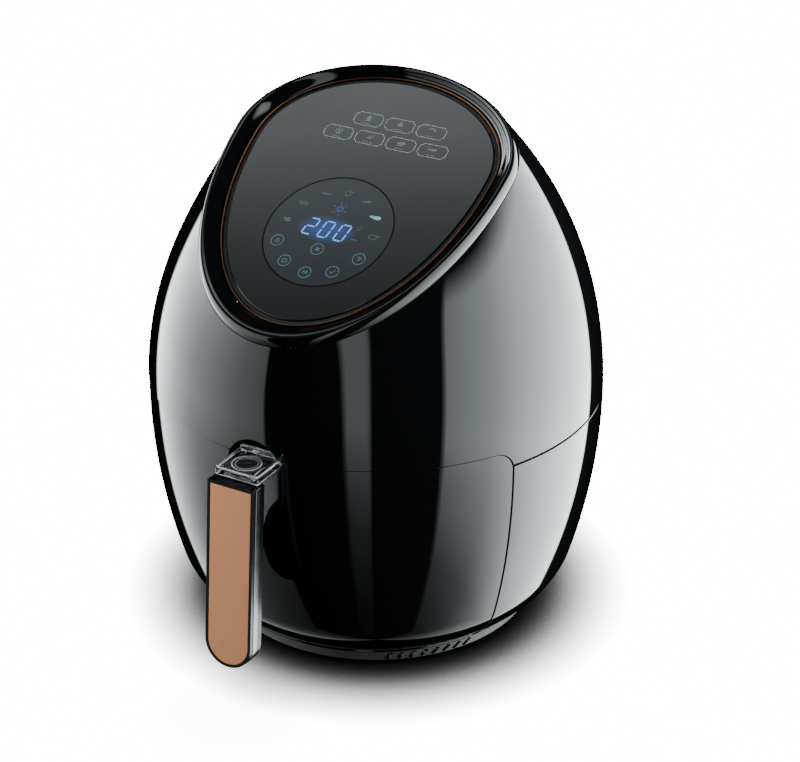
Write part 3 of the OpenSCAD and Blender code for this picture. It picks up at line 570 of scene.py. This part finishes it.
# Fine table in which upper_uv looks up turns and heights; it reaches past both ends of the seam
fine_b = np.linspace(math.radians(-265), math.radians(125), 4000)
fine_even, fine_turn, fine_top, _ = upper_parts(fine_b)


def upper_uv(turn, z):
    """Parameters of the upper shell's point at this turn (radians) and height."""
    s = (z - UPPER_Z0) / (fine_top - UPPER_Z0)
    b = np.interp(turn, mix(fine_even, fine_turn, s), fine_b)
    return b * BODY_R, SLOPE_UNIT * float(np.interp(b, fine_b, s))


cut_cx, cut_cz, cut_cr = drawer_corner(GAP + LIP)
cut_z0 = UPPER_Z0 + LIP
cut_a0 = math.degrees(math.asin((cut_z0 - cut_cz) / cut_cr))
arch_r = ARCH_R + LIP
arch_top_a = math.degrees(math.asin((DRAWER_TOP_Z + GAP + LIP - ARCH_Z) / arch_r))
ARCH_SIDE_Z = 182.0
arch_end = turn_at(arch_r, ARCH_SIDE_Z) + 3
right_edge = (
    [(x / BODY_R, z) for x, z in arc(cut_cx, cut_cz, cut_cr, cut_a0, 90, 10)]
    + [(x / BODY_R, cut_cz + cut_cr) for x in np.linspace(cut_cx, arch_end, 36)][1:]
)
arch = [(turn_at(x, z) / BODY_R, z) for x, z in arc(0, ARCH_Z, arch_r, arch_top_a, 180 - arch_top_a, 24)]
opening = [(-t, z) for t, z in right_edge] + arch[::-1] + right_edge[::-1]
SEAM_TURN = (math.radians(-250), math.radians(110))


def edge_v(b):
    """Lower and upper edge of the sheet at outline parameter b, inside the rounded lips."""
    height = float(upper_parts(np.float64(b))[2]) - UPPER_Z0
    return SLOPE_UNIT * LIP / height, SLOPE_UNIT * (1 - LIP / height)


open_uv = [upper_uv(t, z) for t, z in opening]
before = np.linspace(SEAM_TURN[0], open_uv[0][0] / BODY_R, 60)[:-1]
after = np.linspace(open_uv[-1][0] / BODY_R, SEAM_TURN[1], 20)[1:]
top_b = np.linspace(SEAM_TURN[1], SEAM_TURN[0], 260)
side_v = np.linspace(*edge_v(SEAM_TURN[1]), 38)
upper_loop = (
    [(b * BODY_R, edge_v(b)[0]) for b in before] + open_uv
    + [(b * BODY_R, edge_v(b)[0]) for b in after]
    + [(SEAM_TURN[1] * BODY_R, v) for v in side_v[1:-1]]
    + [(b * BODY_R, edge_v(b)[1]) for b in top_b]
    + [(SEAM_TURN[0] * BODY_R, v) for v in side_v[-2:0:-1]]
)


def vent_loop(grow):
    """The rear window's edge, clockwise, so that the shell is on its left."""
    w, z0, z1, r = VENT_HALF_W + grow, VENT_Z[0] - grow, VENT_Z[1] + grow, 3.0
    corners = (arc(w - r, z0 + r, r, 0, -90, 4) + arc(-w + r, z0 + r, r, -90, -180, 4)
               + arc(-w + r, z1 - r, r, 180, 90, 4) + arc(w - r, z1 - r, r, 90, 0, 4))
    corners = resampled(corners, 4)
    return [upper_uv(-math.pi + turn_at(x, z) / BODY_R, z) for x, z in corners]


add_patch("upper_shell_skin", upper_surface, [upper_loop, vent_loop(LIP)], "housing", "gloss_black",
          seam=[b * BODY_R for b in SEAM_TURN], replaces=["upper_shell"])


# ---------------------------------------------------------------- rim, trim and glass
def swept(name, rows, body, slot, closed=True, sharp=35.0, replaces=(), material=None, caps=False):
    """Surface through rows of points; each row is a closed ring."""
    rows = [np.asarray(r) for r in rows]
    n = len(rows[0])
    faces = []
    for j in range(len(rows) if closed else len(rows) - 1):
        k = (j + 1) % len(rows)
        for i in range(n):
            m = (i + 1) % n
            faces.append((j * n + i, j * n + m, k * n + m, k * n + i))
    if caps:
        faces.append(tuple(range(n))[::-1])
        faces.append(tuple((len(rows) - 1) * n + i for i in range(n)))
    return add_piece(name, np.concatenate(rows), faces, body, slot, sharp=sharp, replaces=replaces,
                     material=material)


def through(points, per):
    """Catmull-Rom curve through the points."""
    p = np.array([points[0], *points, points[-1]], float)
    out = []
    for i in range(1, len(p) - 2):
        a, b, c, d = p[i - 1:i + 3]
        for t in np.arange(per) / per:
            out.append(0.5 * (2 * b + (c - a) * t + (2 * a - 5 * b + 4 * c - d) * t * t
                              + (3 * b - a - 3 * c + d) * t ** 3))
    return out + [p[-1]]


# Profiles are (way across the rim, height above the glass), or (growth past the glass, height)
TURNS = np.linspace(0, 2 * math.pi, 361)[:-1]
crown = through([(0, 0.4), (0.02, 2.6), (0.08, 4.9), (0.18, 6.5), (0.28, 7.0), (0.40, 6.8)], 5)
slope = through([(0.415, 6.3), (0.50, 5.6), (0.62, 4.3), (0.80, 2.1), (0.93, 0.75), (0.995, 0.3)], 4)
under = [(1.0, -5.0), (0.62, -5.0), (0.62, 0.4)]
swept("rim_crown", [panel_point(*egg_outline(rim_size(f), TURNS), h) for f, h in crown + slope + under],
      "housing", "gloss_black", sharp=28, replaces=["panel_rim"])
# the trim line wears the darker copper, which is painted shade
swept("copper_line", [panel_point(*egg_outline(grown(GLASS, g), TURNS), h) for g, h in [
    (4.4, -2.4), (4.4, 0.3), (4.2, 0.5), (3.6, 0.5), (3.4, 0.3), (3.4, -2.4)]][::-1],
      "housing", "copper_trim", replaces=["trim_ring"], material=prints["copper_line_in_shade"])
swept("glass_sheet", [panel_point(*egg_outline(grown(GLASS, g), TURNS), h) for g, h in [
    (0, -2), (0, -0.45), (-0.12, -0.2), (-0.45, 0)]], "housing", "smoked_glass", closed=False,
      caps=True, sharp=12, replaces=["glass_panel"])


# ---------------------------------------------------------------- printed and lit symbols
PRINT_H = 0.02
PRINT_T = 0.03


def flat_piece(name, shapes, material, slot="display", h=PRINT_H, thick=PRINT_T):
    """Thin printed islands on the glass from closed outlines in panel coordinates."""
    verts, faces = [], []
    for shape in shapes:
        shape = np.asarray(shape, float)
        x, y = shape[:, 0], shape[:, 1]
        if (x * np.roll(y, -1) - y * np.roll(x, -1)).sum() < 0:
            shape = shape[::-1]
        n, start = len(shape), len(verts)
        verts += panel_point(shape[:, 0], shape[:, 1], h).tolist()
        verts += panel_point(shape[:, 0], shape[:, 1], h + thick).tolist()
        faces.append(tuple(range(start + n - 1, start - 1, -1)))
        faces.append(tuple(range(start + n, start + 2 * n)))
        for i in range(n):
            j = (i + 1) % n
            faces.append((start + i, start + j, start + n + j, start + n + i))
    return add_piece(name, verts, faces, "housing", slot, material=prints[material], sharp=30)


def bar(x0, y0, x1, y1, w):
    """Straight stroke."""
    d = np.array([x1 - x0, y1 - y0], float)
    s = np.array([-d[1], d[0]]) / np.linalg.norm(d) * w / 2
    return [(x0 - s[0], y0 - s[1]), (x1 - s[0], y1 - s[1]), (x1 + s[0], y1 + s[1]), (x0 + s[0], y0 + s[1])]


def stroke(points, w):
    """Open polyline of constant width as one outline with mitred corners."""
    p = np.asarray(points, float)
    d = unit(np.diff(p, axis=0))
    side = np.stack([-d[:, 1], d[:, 0]], -1)
    ends = np.vstack([side[:1], unit(side[:-1] + side[1:]), side[-1:]])
    ends[1:-1] /= np.maximum((ends[1:-1] * side[1:]).sum(1, keepdims=True), 0.4)
    return np.vstack([p + ends * w / 2, (p - ends * w / 2)[::-1]])


def ring_arc(cx, cy, r, w, a0=0.0, a1=352.0, n=28):
    """Ring of width w, left open by a hair so that it is one outline."""
    return stroke(arc(cx, cy, r, a0, a1, n), w)


def disc(cx, cy, r, n=20):
    return arc(cx, cy, r, 0, 360 - 360 / n, n - 1)


def placed(shape, cx, cy, size=1.0, turn=0.0):
    """Shape scaled, turned by degrees and moved to a centre."""
    c, s = math.cos(math.radians(turn)) * size, math.sin(math.radians(turn)) * size
    return [(cx + c * x - s * y, cy + s * x + c * y) for x, y in shape]


def drop_of(w, h, n=18):
    """Closed rounded blob, wider at the right: the outline of a piece of food."""
    return [(w * math.cos(a), h * math.sin(a) * (0.75 + 0.25 * math.cos(a)))
            for a in np.linspace(0, 2 * math.pi, n, endpoint=False)]


# display disc, with a flat near-black ring at its edge: painted shade for its engraved groove
swept("display_disc", [panel_point(*np.array(disc(0, DISPLAY_V, r, 120)).T, h) for r, h in [
    (DISPLAY_R - 0.7, -0.3), (DISPLAY_R - 0.7, 0.012)]], "housing", "display",
      closed=False, caps=True)
ring_section = [(DISPLAY_R + 0.5, -0.3), (DISPLAY_R + 0.5, 0.02), (DISPLAY_R - 0.55, 0.02),
                (DISPLAY_R - 0.55, -0.3)]
ring_rows = [panel_point(*np.array(disc(0, DISPLAY_V, r, 120)).T, h) for r, h in ring_section]
swept("display_ring", ring_rows[::-1], "housing", "display", material=prints["groove_shade_black"])

# seven-segment digits, slanted
DIGIT_H = 13.0
DIGIT_W = 6.6
DIGIT_SLANT = 0.15
SEGMENT_HALF_W = 0.55
SEGMENT_GAP = 0.35
SEGMENTS = {"a": (0, 1, 1, 1), "b": (1, 1, 1, 0.5), "c": (1, 0.5, 1, 0), "d": (0, 0, 1, 0),
            "e": (0, 0, 0, 0.5), "f": (0, 0.5, 0, 1), "g": (0, 0.5, 1, 0.5)}
DIGITS = {"2": "abged", "0": "abcdef"}


def digit(letter, cx, cy):
    """Outlines of the digit's lit segments, pointed at both ends."""
    shapes = []
    for key in DIGITS[letter]:
        x0, y0, x1, y1 = SEGMENTS[key]
        a = np.array([(x0 - 0.5) * DIGIT_W, (y0 - 0.5) * DIGIT_H])
        b = np.array([(x1 - 0.5) * DIGIT_W, (y1 - 0.5) * DIGIT_H])
        d = unit(b - a)
        s = np.array([-d[1], d[0]]) * SEGMENT_HALF_W
        tip = d * SEGMENT_HALF_W
        a, b = a + d * SEGMENT_GAP, b - d * SEGMENT_GAP
        shape = [a, a + tip - s, b - tip - s, b, b - tip + s, a + tip + s]
        shapes.append([(cx + x + DIGIT_SLANT * y, cy + y) for x, y in shape])
    return shapes


digit_shapes = []
for letter, x in (("2", -13.6), ("0", -1.8), ("0", 10.2)):
    digit_shapes += digit(letter, x, DIGITS_V)
flat_piece("display_digits", digit_shapes, "lit_blue")
GLOW_MARGIN = 0.5
glow = [(GLOW_CENTRE[0] + (GLOW_R[0] + GLOW_MARGIN) * math.cos(a),
         GLOW_CENTRE[1] + (GLOW_R[1] + GLOW_MARGIN) * math.sin(a))
        for a in np.linspace(0, 2 * math.pi, 64, endpoint=False)]
flat_piece("display_glow", [glow], "lit_glow", h=0.013, thick=0.005)

# fan mark above the digits and unit marks beside them
FAN_V = DISPLAY_V + 18.8
fan_shapes = []
for i in range(6):
    a = 60 * i + 15
    fan_shapes.append(placed([(1.0, -0.5), (2.6, -0.3), (2.9, 1.1), (1.5, 1.2)], -0.5, FAN_V, 1.0, a))
    fan_shapes.append(placed([(4.0, -0.3), (5.6, -0.3), (5.6, 0.4), (4.0, 0.4)], -0.5, FAN_V, 1.0, a + 25))
flat_piece("display_fan_mark", fan_shapes, "lit_fan")
flat_piece("display_unit_marks", [ring_arc(20.3, DISPLAY_V + 7.1, 1.5, 0.5, 50, 310, 12),
                                  bar(18.0, DISPLAY_V - 2.1, 23.0, DISPLAY_V - 2.1, 0.8)], "lit_fan")

# seven food symbols on an arc above, the sixth lit brighter
FOOD_R = 32.3
FOOD_STEP = 28.4


def food_place(i):
    a = math.radians(91 + FOOD_STEP * (3 - i))
    return FOOD_R * math.cos(a), DISPLAY_V + FOOD_R * math.sin(a)


def food(i):
    """Outlines of the i-th food symbol, from left to right."""
    x, y = food_place(i)
    if i == 0:
        return [placed(drop_of(2.6, 2.4), x, y), bar(x - 3.6, y, x - 2.2, y + 1.6, 0.7)]
    if i == 1:
        return [bar(x - 3.6, y + 0.8, x + 3.2, y + 0.8, 0.9), bar(x - 2.8, y - 0.8, x + 3.8, y - 0.8, 0.9)]
    if i == 2:
        return [placed(drop_of(3.8, 0.9), x, y), bar(x + 3.2, y - 0.2, x + 4.8, y + 1.0, 0.7)]
    if i == 3:
        return [ring_arc(x, y, 2.2, 0.6, 20, 340, 16), bar(x + 0.4, y, x + 3.4, y + 1.6, 0.8)]
    if i == 4:
        return [placed(drop_of(3.6, 1.2), x, y, 1, 14)]
    if i == 5:
        return [placed(drop_of(3.4, 1.9), x + 0.6, y), placed(drop_of(1.6, 1.1), x - 3.0, y + 0.2)]
    return [stroke([(x - 3.4, y + 0.8), (x - 2.6, y - 1.5), (x + 1.6, y - 1.7), (x + 3.8, y + 1.2),
                    (x - 2.6, y + 1.3)], 0.6)]


flat_piece("food_symbols", [s for i in range(7) if i != 5 for s in food(i)], "lit_dim")
flat_piece("food_symbol_lit", food(5), "lit_cyan")

# six touch keys: rings with a simple sign inside
KEY_R = 34.4
KEY_STEP = 31.8
keys = [(KEY_R * math.cos(math.radians(270 + KEY_STEP * (i - 2))),
         DISPLAY_V + KEY_R * math.sin(math.radians(270 + KEY_STEP * (i - 2)))) for i in range(5)]
keys.append((-0.4, DISPLAY_V - 15.1))
signs = [
    [[(-1.6, -1.2), (0.2, 1.8)], [(0.2, 1.8), (1.7, -1.0)], [(-1.4, -1.2), (1.6, -1.2)]],
    [[(-1.5, -1.3), (1.5, -1.3), (1.5, 1.3), (-1.5, 1.3), (-1.5, -0.9)]],
    [[(-1.8, -1.2), (-1.2, 1.3), (0, -0.6), (1.2, 1.3), (1.8, -1.2)]],
    [[(-1.7, 0.0), (-0.3, -1.4), (1.8, 1.3)]],
    [[(-1.6, 1.2), (0.3, 1.4), (-0.3, -1.5)], [(0.6, -1.4), (1.7, 1.2)]],
    [[(0, -2.0), (0, 2.0)], [(-1.7, -1.0), (1.7, 1.0)], [(-1.7, 1.0), (1.7, -1.0)]],
]
key_shapes = []
for (x, y), sign in zip(keys, signs):
    key_shapes.append(ring_arc(x, y, 4.3, 0.55))
    key_shapes += [stroke([(x + a, y + b) for a, b in line], 0.5) for line in sign]
flat_piece("touch_keys", key_shapes, "lit_teal")

# seven outlined programme badges with small pictures
BADGE_W = 21.5
BADGE_H = 10.8
BADGE_CUT = 2.6
BADGE_PITCH = 24.0
badge_places = [(8 + BADGE_PITCH * i, 22.6) for i in (-1, 0, 1)]
badge_places += [(4 + BADGE_PITCH * (i - 1.5), 7.7) for i in range(4)]


def badge_edge(cx, cy, w, h, cut):
    x, y = w / 2, h / 2
    corners = [(x, -y + cut), (x, y - cut), (x - cut, y), (-x + cut, y), (-x, y - cut), (-x, -y + cut),
               (-x + cut, -y), (x - cut, -y)]
    return [(cx + a, cy + b) for a, b in corners]


def frame_strips(outer, inner):
    return [[outer[i], outer[(i + 1) % len(outer)], inner[(i + 1) % len(inner)], inner[i]]
            for i in range(len(outer))]


badge_frames, badge_pictures = [], []
for i, (x, y) in enumerate(badge_places):
    badge_frames += frame_strips(badge_edge(x, y, BADGE_W, BADGE_H, BADGE_CUT),
                                 badge_edge(x, y, BADGE_W - 0.9, BADGE_H - 0.9, BADGE_CUT - 0.25))
    top = y + 1.0
    pictures = [
        [placed(drop_of(2.2, 2.3), x, top, 1, 90), bar(x - 2.4, top - 2.2, x + 2.4, top - 2.2, 0.6)],
        [[(x - 2.6, top - 1.6), (x + 2.6, top - 1.6), (x + 0.2, top + 2.4)]],
        [stroke([(x - 2.8, top + 0.6), (x - 1, top + 1.8), (x + 1.4, top + 1.6), (x + 2.8, top - 0.4)],
                1.1)],
        [ring_arc(x, top, 2.3, 0.6), disc(x, top, 1.1)],
        [bar(x - 2.2, top - 1.6, x + 2.4, top + 2.0, 0.8),
         bar(x - 0.2, top - 1.8, x + 2.8, top + 0.6, 0.5)],
        [placed(drop_of(3.2, 1.6), x, top, 1, 8), bar(x - 2.6, top - 2.0, x + 1.8, top - 2.0, 0.5)],
        [placed(drop_of(2.8, 1.2), x, top), [(x - 2.6, top), (x - 4.0, top + 1.2), (x - 4.0, top - 1.2)]],
    ]
    badge_pictures += pictures[i]
    badge_pictures.append(bar(x - 3.4, y - 3.6, x + 3.4, y - 3.6, 0.5))
flat_piece("programme_frames", badge_frames, "print_white", "smoked_glass")
flat_piece("programme_pictures", badge_pictures, "print_dim", "smoked_glass")


# ---------------------------------------------------------------- softened copies of CAD nodes
EDGE_ANGLE = 32.0
SMOOTH_ANGLE = 40.0


def softened(name, source, body, radius, material=None, outer_only=False, joined=True):
    """Copy of a CAD node with its edges rounded: only the outer ones, or all; joined merges flat facets."""
    ob = frame["nodes"][source]
    mesh = ob.data.copy()
    bm = bmesh.new()
    bm.from_mesh(mesh)
    bmesh.ops.remove_doubles(bm, verts=bm.verts, dist=1e-6)
    if joined:
        bmesh.ops.dissolve_limit(bm, angle_limit=math.radians(0.6), verts=bm.verts, edges=bm.edges)
    sharp = [e for e in bm.edges if e.is_manifold and e.calc_face_angle() > math.radians(EDGE_ANGLE)]
    if outer_only:
        sharp = [e for e in sharp if e.is_convex]
    bmesh.ops.bevel(bm, geom=sharp, offset=radius * MM, offset_type="OFFSET", segments=2,
                    profile=0.5, affect="EDGES", clamp_overlap=True, harden_normals=False)
    bm.to_mesh(mesh)
    bm.free()
    mesh.polygons.foreach_set("use_smooth", [True] * len(mesh.polygons))
    mesh.set_sharp_from_angle(angle=math.radians(SMOOTH_ANGLE))
    piece = bpy.data.objects.new(name, mesh)
    bpy.context.scene.collection.objects.link(piece)
    weighted = piece.modifiers.new("face_normals", "WEIGHTED_NORMAL")
    weighted.keep_sharp = True
    mesh.materials.clear()
    mesh.materials.append(material or materials[subpart_slot[source]])
    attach(piece, body)
    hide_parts(source)


own_paint = {"handle_grip": "grip_black"}
for source, body, radius in (
    ("handle_grip", "drawer", 0.5), ("grip_frame", "drawer", 0.3), ("grip_inlay", "drawer", 0.25),
    ("handle_bracket", "drawer", 0.4), ("release_button", "button", 0.35), ("button_cover", "cover", 0.7),
    ("rear_vent_cover", "housing", 0.4), ("cord_gland", "housing", 0.6), ("feet", "housing", 0.4),
    ("base_ring", "housing", 0.4), ("basket_strap", "drawer", 0.3), ("drawer_inner", "drawer", 0.3),
):
    softened(source + "_soft", source, body, radius, material=prints.get(own_paint.get(source)),
             outer_only=source in ("button_cover", "handle_grip"), joined=source != "handle_grip")

# the spring, a copy with its own mesh, rides on the drawer
coil_mesh = frame["nodes"]["button_spring"].data.copy()
coil = bpy.data.objects.new("spring_coil", coil_mesh)
bpy.context.scene.collection.objects.link(coil)
coil_mesh.materials.clear()
coil_mesh.materials.append(materials["spring_steel"])
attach(coil, "drawer")
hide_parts("button_spring")
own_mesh(coil)


# ---------------------------------------------------------------- painted highlights: whitish bars on the clear cover's edges and lens rings
def tube_loop(points, z, radius, sides=8, closed=True):
    """Round bar along a flat loop or open path, counterclockwise, at height z."""
    p = np.asarray(points, float)
    ahead = unit(np.roll(p, -1, 0) - p)
    if not closed:
        ahead[-1] = ahead[-2]
    behind = np.roll(ahead, 1, 0)
    if not closed:
        behind[0] = ahead[0]
    ahead = unit(ahead + behind)
    out = np.stack([ahead[:, 1], -ahead[:, 0]], -1)
    n = len(p)
    verts, faces = [], []
    for i in range(n):
        for k in range(sides):
            a = 2 * math.pi * k / sides
            verts.append((*(p[i] + out[i] * radius * math.cos(a)), z + radius * math.sin(a)))
    for i in range(n if closed else n - 1):
        j = (i + 1) % n
        for k in range(sides):
            m = (k + 1) % sides
            faces.append((i * sides + k, j * sides + k, j * sides + m, i * sides + m))
    if not closed:
        faces.append(tuple(range(sides)))
        faces.append(tuple((n - 1) * sides + k for k in range(sides - 1, -1, -1)))
    return verts, faces


def round_rectangle(x, y0, y1, r):
    """Closed loop from the front right corner on, counterclockwise; x is half the width."""
    return (arc(x - r, y0 + r, r, -90, 0, 4) + arc(x - r, y1 - r, r, 0, 90, 4)
            + arc(-x + r, y1 - r, r, 90, 180, 4) + arc(-x + r, y0 + r, r, 180, 270, 4))


cover_loop = round_rectangle(COVER_X - EDGE_IN, COVER_Y[0] + EDGE_IN, COVER_Y[1] - EDGE_IN, 1.4)
cover_back = COVER_Y[1] - EDGE_IN
half = len(cover_loop) // 2
lower_path = ([(-COVER_MOUTH_X, cover_back)] + cover_loop[half:] + cover_loop[:half]
              + [(COVER_MOUTH_X, cover_back)])
highlight_bars = [
    tube_loop(cover_loop, COVER_Z[1] - EDGE_IN, EDGE_R),
    tube_loop(lower_path, COVER_Z[0] + EDGE_IN, EDGE_R, closed=False),
]
for ring_r, depth, bar_r in LENS_RING_HIGHLIGHTS:
    ring = [(x, BUTTON_Y + y) for x, y in disc(0, 0, ring_r, 48)]
    highlight_bars.append(tube_loop(ring, COVER_Z[1] - depth, bar_r))
edge_verts, edge_faces = [], []
for bar_verts, bar_faces in highlight_bars:
    start = len(edge_verts)
    edge_verts += bar_verts
    edge_faces += [tuple(i + start for i in f) for f in bar_faces]
add_piece("cover_edge_highlights", edge_verts, edge_faces, "cover", "clear_cover", material=prints["painted_edge_highlight"],
          sharp=60)


# ---------------------------------------------------------------- stage: floor, studio light, camera
AZIMUTH = math.radians(29.5)
ELEVATION = math.radians(27.4)
TARGET = Vector((0.0168, 0.0041, 0.1647))
DISTANCE = 1.58
LENS = 102.15

right = Vector((math.cos(AZIMUTH), math.sin(AZIMUTH), 0))
facing = Vector((math.sin(AZIMUTH), -math.cos(AZIMUTH), 0))
back = facing * math.cos(ELEVATION) + Vector((0, 0, math.sin(ELEVATION)))
up = back.cross(right)
camera = bpy.data.objects.new("camera", bpy.data.cameras.new("camera"))
camera.data.lens = LENS
camera.data.sensor_width = 36.0
camera.matrix_world = Matrix((
    (right.x, up.x, back.x, TARGET.x + back.x * DISTANCE),
    (right.y, up.y, back.y, TARGET.y + back.y * DISTANCE),
    (right.z, up.z, back.z, TARGET.z + back.z * DISTANCE),
    (0, 0, 0, 1),
))
bpy.context.scene.collection.objects.link(camera)
bpy.context.scene.camera = camera

# The floor glows white; a painted contact shadow darkens it where something stands close above it
WHITE = 16.0
FLOOR_HALF = 30
SHADOW_REACH = 0.060
SHADOW_DEPTH = 6.0
floor_mesh = bpy.data.meshes.new("floor")
floor_corners = [(x * FLOOR_HALF, y * FLOOR_HALF, 0) for x, y in ((-1, -1), (1, -1), (1, 1), (-1, 1))]
floor_mesh.from_pydata(floor_corners, [], [(0, 1, 2, 3)])
floor = bpy.data.objects.new("floor", floor_mesh)
bpy.context.scene.collection.objects.link(floor)
floor_paint = bpy.data.materials.new("floor_paint")
floor_paint.use_nodes = True
tree = floor_paint.node_tree
tree.nodes.remove(tree.nodes["Principled BSDF"])
glow_shader = node(tree, "ShaderNodeEmission")
painted_contact_shadow = node(tree, "ShaderNodeAmbientOcclusion", samples=32, Distance=SHADOW_REACH)
fade = node(tree, "ShaderNodeMath", operation="POWER")
fade.inputs[1].default_value = SHADOW_DEPTH
gain = node(tree, "ShaderNodeMath", operation="MULTIPLY")
gain.inputs[1].default_value = WHITE
tree.links.new(painted_contact_shadow.outputs["AO"], fade.inputs[0])
tree.links.new(fade.outputs[0], gain.inputs[0])
tree.links.new(gain.outputs[0], glow_shader.inputs["Strength"])
tree.links.new(glow_shader.outputs[0], tree.nodes["Material Output"].inputs["Surface"])
floor_mesh.materials.append(floor_paint)
floor.visible_glossy = False
floor.visible_diffuse = False

# Studio light as seen by direction: a left card, a right card with a narrow strip at the front, and an
# overhead panel whose light the glass shows as a gradient. Turns are in degrees from the camera's side,
# positive to the right; each mask says how strong the cards are at a height, with 10 for full strength.
world = bpy.data.worlds.new("studio")
bpy.context.scene.world = world
world.use_nodes = True
tree = world.node_tree
coords = node(tree, "ShaderNodeTexCoord")


def dot_with(vector):
    n = node(tree, "ShaderNodeVectorMath", operation="DOT_PRODUCT")
    n.inputs[1].default_value = vector
    tree.links.new(coords.outputs["Generated"], n.inputs[0])
    return n.outputs["Value"]


def math_of(operation, a, b=None):
    n = node(tree, "ShaderNodeMath", operation=operation)
    for socket, value in zip(n.inputs, (a, b)):
        if value is None:
            continue
        if isinstance(value, (int, float)):
            socket.default_value = value
        else:
            tree.links.new(value, socket)
    return n.outputs[0]


def ramp_of(source, stops, low, high, top=10):
    """Piecewise straight curve through (degrees, value) stops from low to high; values up to top."""
    n = node(tree, "ShaderNodeValToRGB")
    ramp = n.color_ramp
    while len(ramp.elements) < len(stops):
        ramp.elements.new(0.5)
    for element, (angle, _) in zip(ramp.elements, stops):
        element.position = (angle - low) / (high - low)
    for element, (_, value) in zip(ramp.elements, stops):
        element.color = (value / top, value / top, value / top, 1)
    scaled = math_of("DIVIDE", math_of("SUBTRACT", source, math.radians(low)), math.radians(high - low))
    tree.links.new(scaled, n.inputs["Fac"])
    return math_of("MULTIPLY", n.outputs["Color"], top)


def masked(light, mask):
    """Light times mask, where a mask of 10 lets all of it through."""
    return math_of("MULTIPLY", light, math_of("DIVIDE", mask, 10.0))


turn = math_of("ARCTAN2", dot_with(right), dot_with(facing))
height = math_of("ARCSINE", dot_with((0, 0, 1)))
left_card = ramp_of(turn, [
    (-180, 0), (-140, 0), (-138, 8.4), (-131, 7.0), (-116, 4.2), (-102, 2.7), (-90, 2.2), (-69, 1.3),
    (-54.5, 0.95), (-53.5, 0), (180, 0)], -180, 180)
left_mask = ramp_of(height, [
    (-90, 0.5), (-60, 1.4), (-48, 2.8), (-39, 5.2), (-36, 6.6), (-31, 8.2), (-26, 10.2), (-21, 13.0),
    (-16, 16.0), (14, 17.5), (22, 12.0), (36, 0), (90, 0)], -90, 90, 20)
right_cards = ramp_of(turn, [
    (-180, 0), (-14.5, 0), (-13.5, 1.1), (-3, 1.1), (-2, 0), (32, 0), (33, 1.9), (58, 3.4), (77, 6.0),
    (99, 8.2), (133, 8.6), (135, 0), (180, 0)], -180, 180)
right_dip = math_of("MINIMUM", math_of("MULTIPLY", math_of("SUBTRACT", turn, math.pi / 2), 0.22), 0)
right_mask = ramp_of(math_of("ADD", height, right_dip), [
    (-110, 0), (-80, 0.6), (-70, 1.5), (-60, 3.2), (-55, 5.5), (-50, 8), (-46, 10), (-40, 12.5),
    (-36, 14.5), (-31, 17.0), (-26, 18.5), (26, 18.5), (36, 0), (90, 0)], -110, 90, 20)
# The overhead panel follows the camera's up and right directions as the glass reflects them
glass_normal = Vector((0, -math.sin(TILT), math.cos(TILT)))
glass_up = up.reflect(glass_normal)
glass_right = right.reflect(glass_normal)
overhead = ramp_of(math_of("ARCSINE", dot_with(glass_up)), [
    (-90, 0.15), (-2, 0.15), (0.8, 0.25), (2.05, 0.42), (3.3, 0.75), (4.5, 1.1), (5.6, 2.1), (6.6, 3.1),
    (9, 3.5), (12, 0.6), (90, 0.6)], -90, 90)
overhead_mask = ramp_of(math_of("ARCSINE", dot_with(glass_right)), [
    (-90, 0), (-14, 0), (-8, 10), (7, 10), (13, 0), (90, 0)], -90, 90)
above = ramp_of(height, [(-90, 0), (44, 0), (52, 10), (90, 10)], -90, 90)
radiance = math_of("ADD", masked(left_card, left_mask), masked(right_cards, right_mask))
radiance = math_of("ADD", radiance, masked(overhead, masked(overhead_mask, above)))
studio = node(tree, "ShaderNodeBackground", Color=(0.83, 0.90, 0.915, 1.0))
tree.links.new(radiance, studio.inputs["Strength"])
backdrop = node(tree, "ShaderNodeBackground", Strength=WHITE)
rays = node(tree, "ShaderNodeLightPath")
choice = node(tree, "ShaderNodeMixShader")
tree.links.new(rays.outputs["Is Camera Ray"], choice.inputs[0])
tree.links.new(studio.outputs[0], choice.inputs[1])
tree.links.new(backdrop.outputs[0], choice.inputs[2])
tree.links.new(choice.outputs[0], tree.nodes["World Output"].inputs["Surface"])
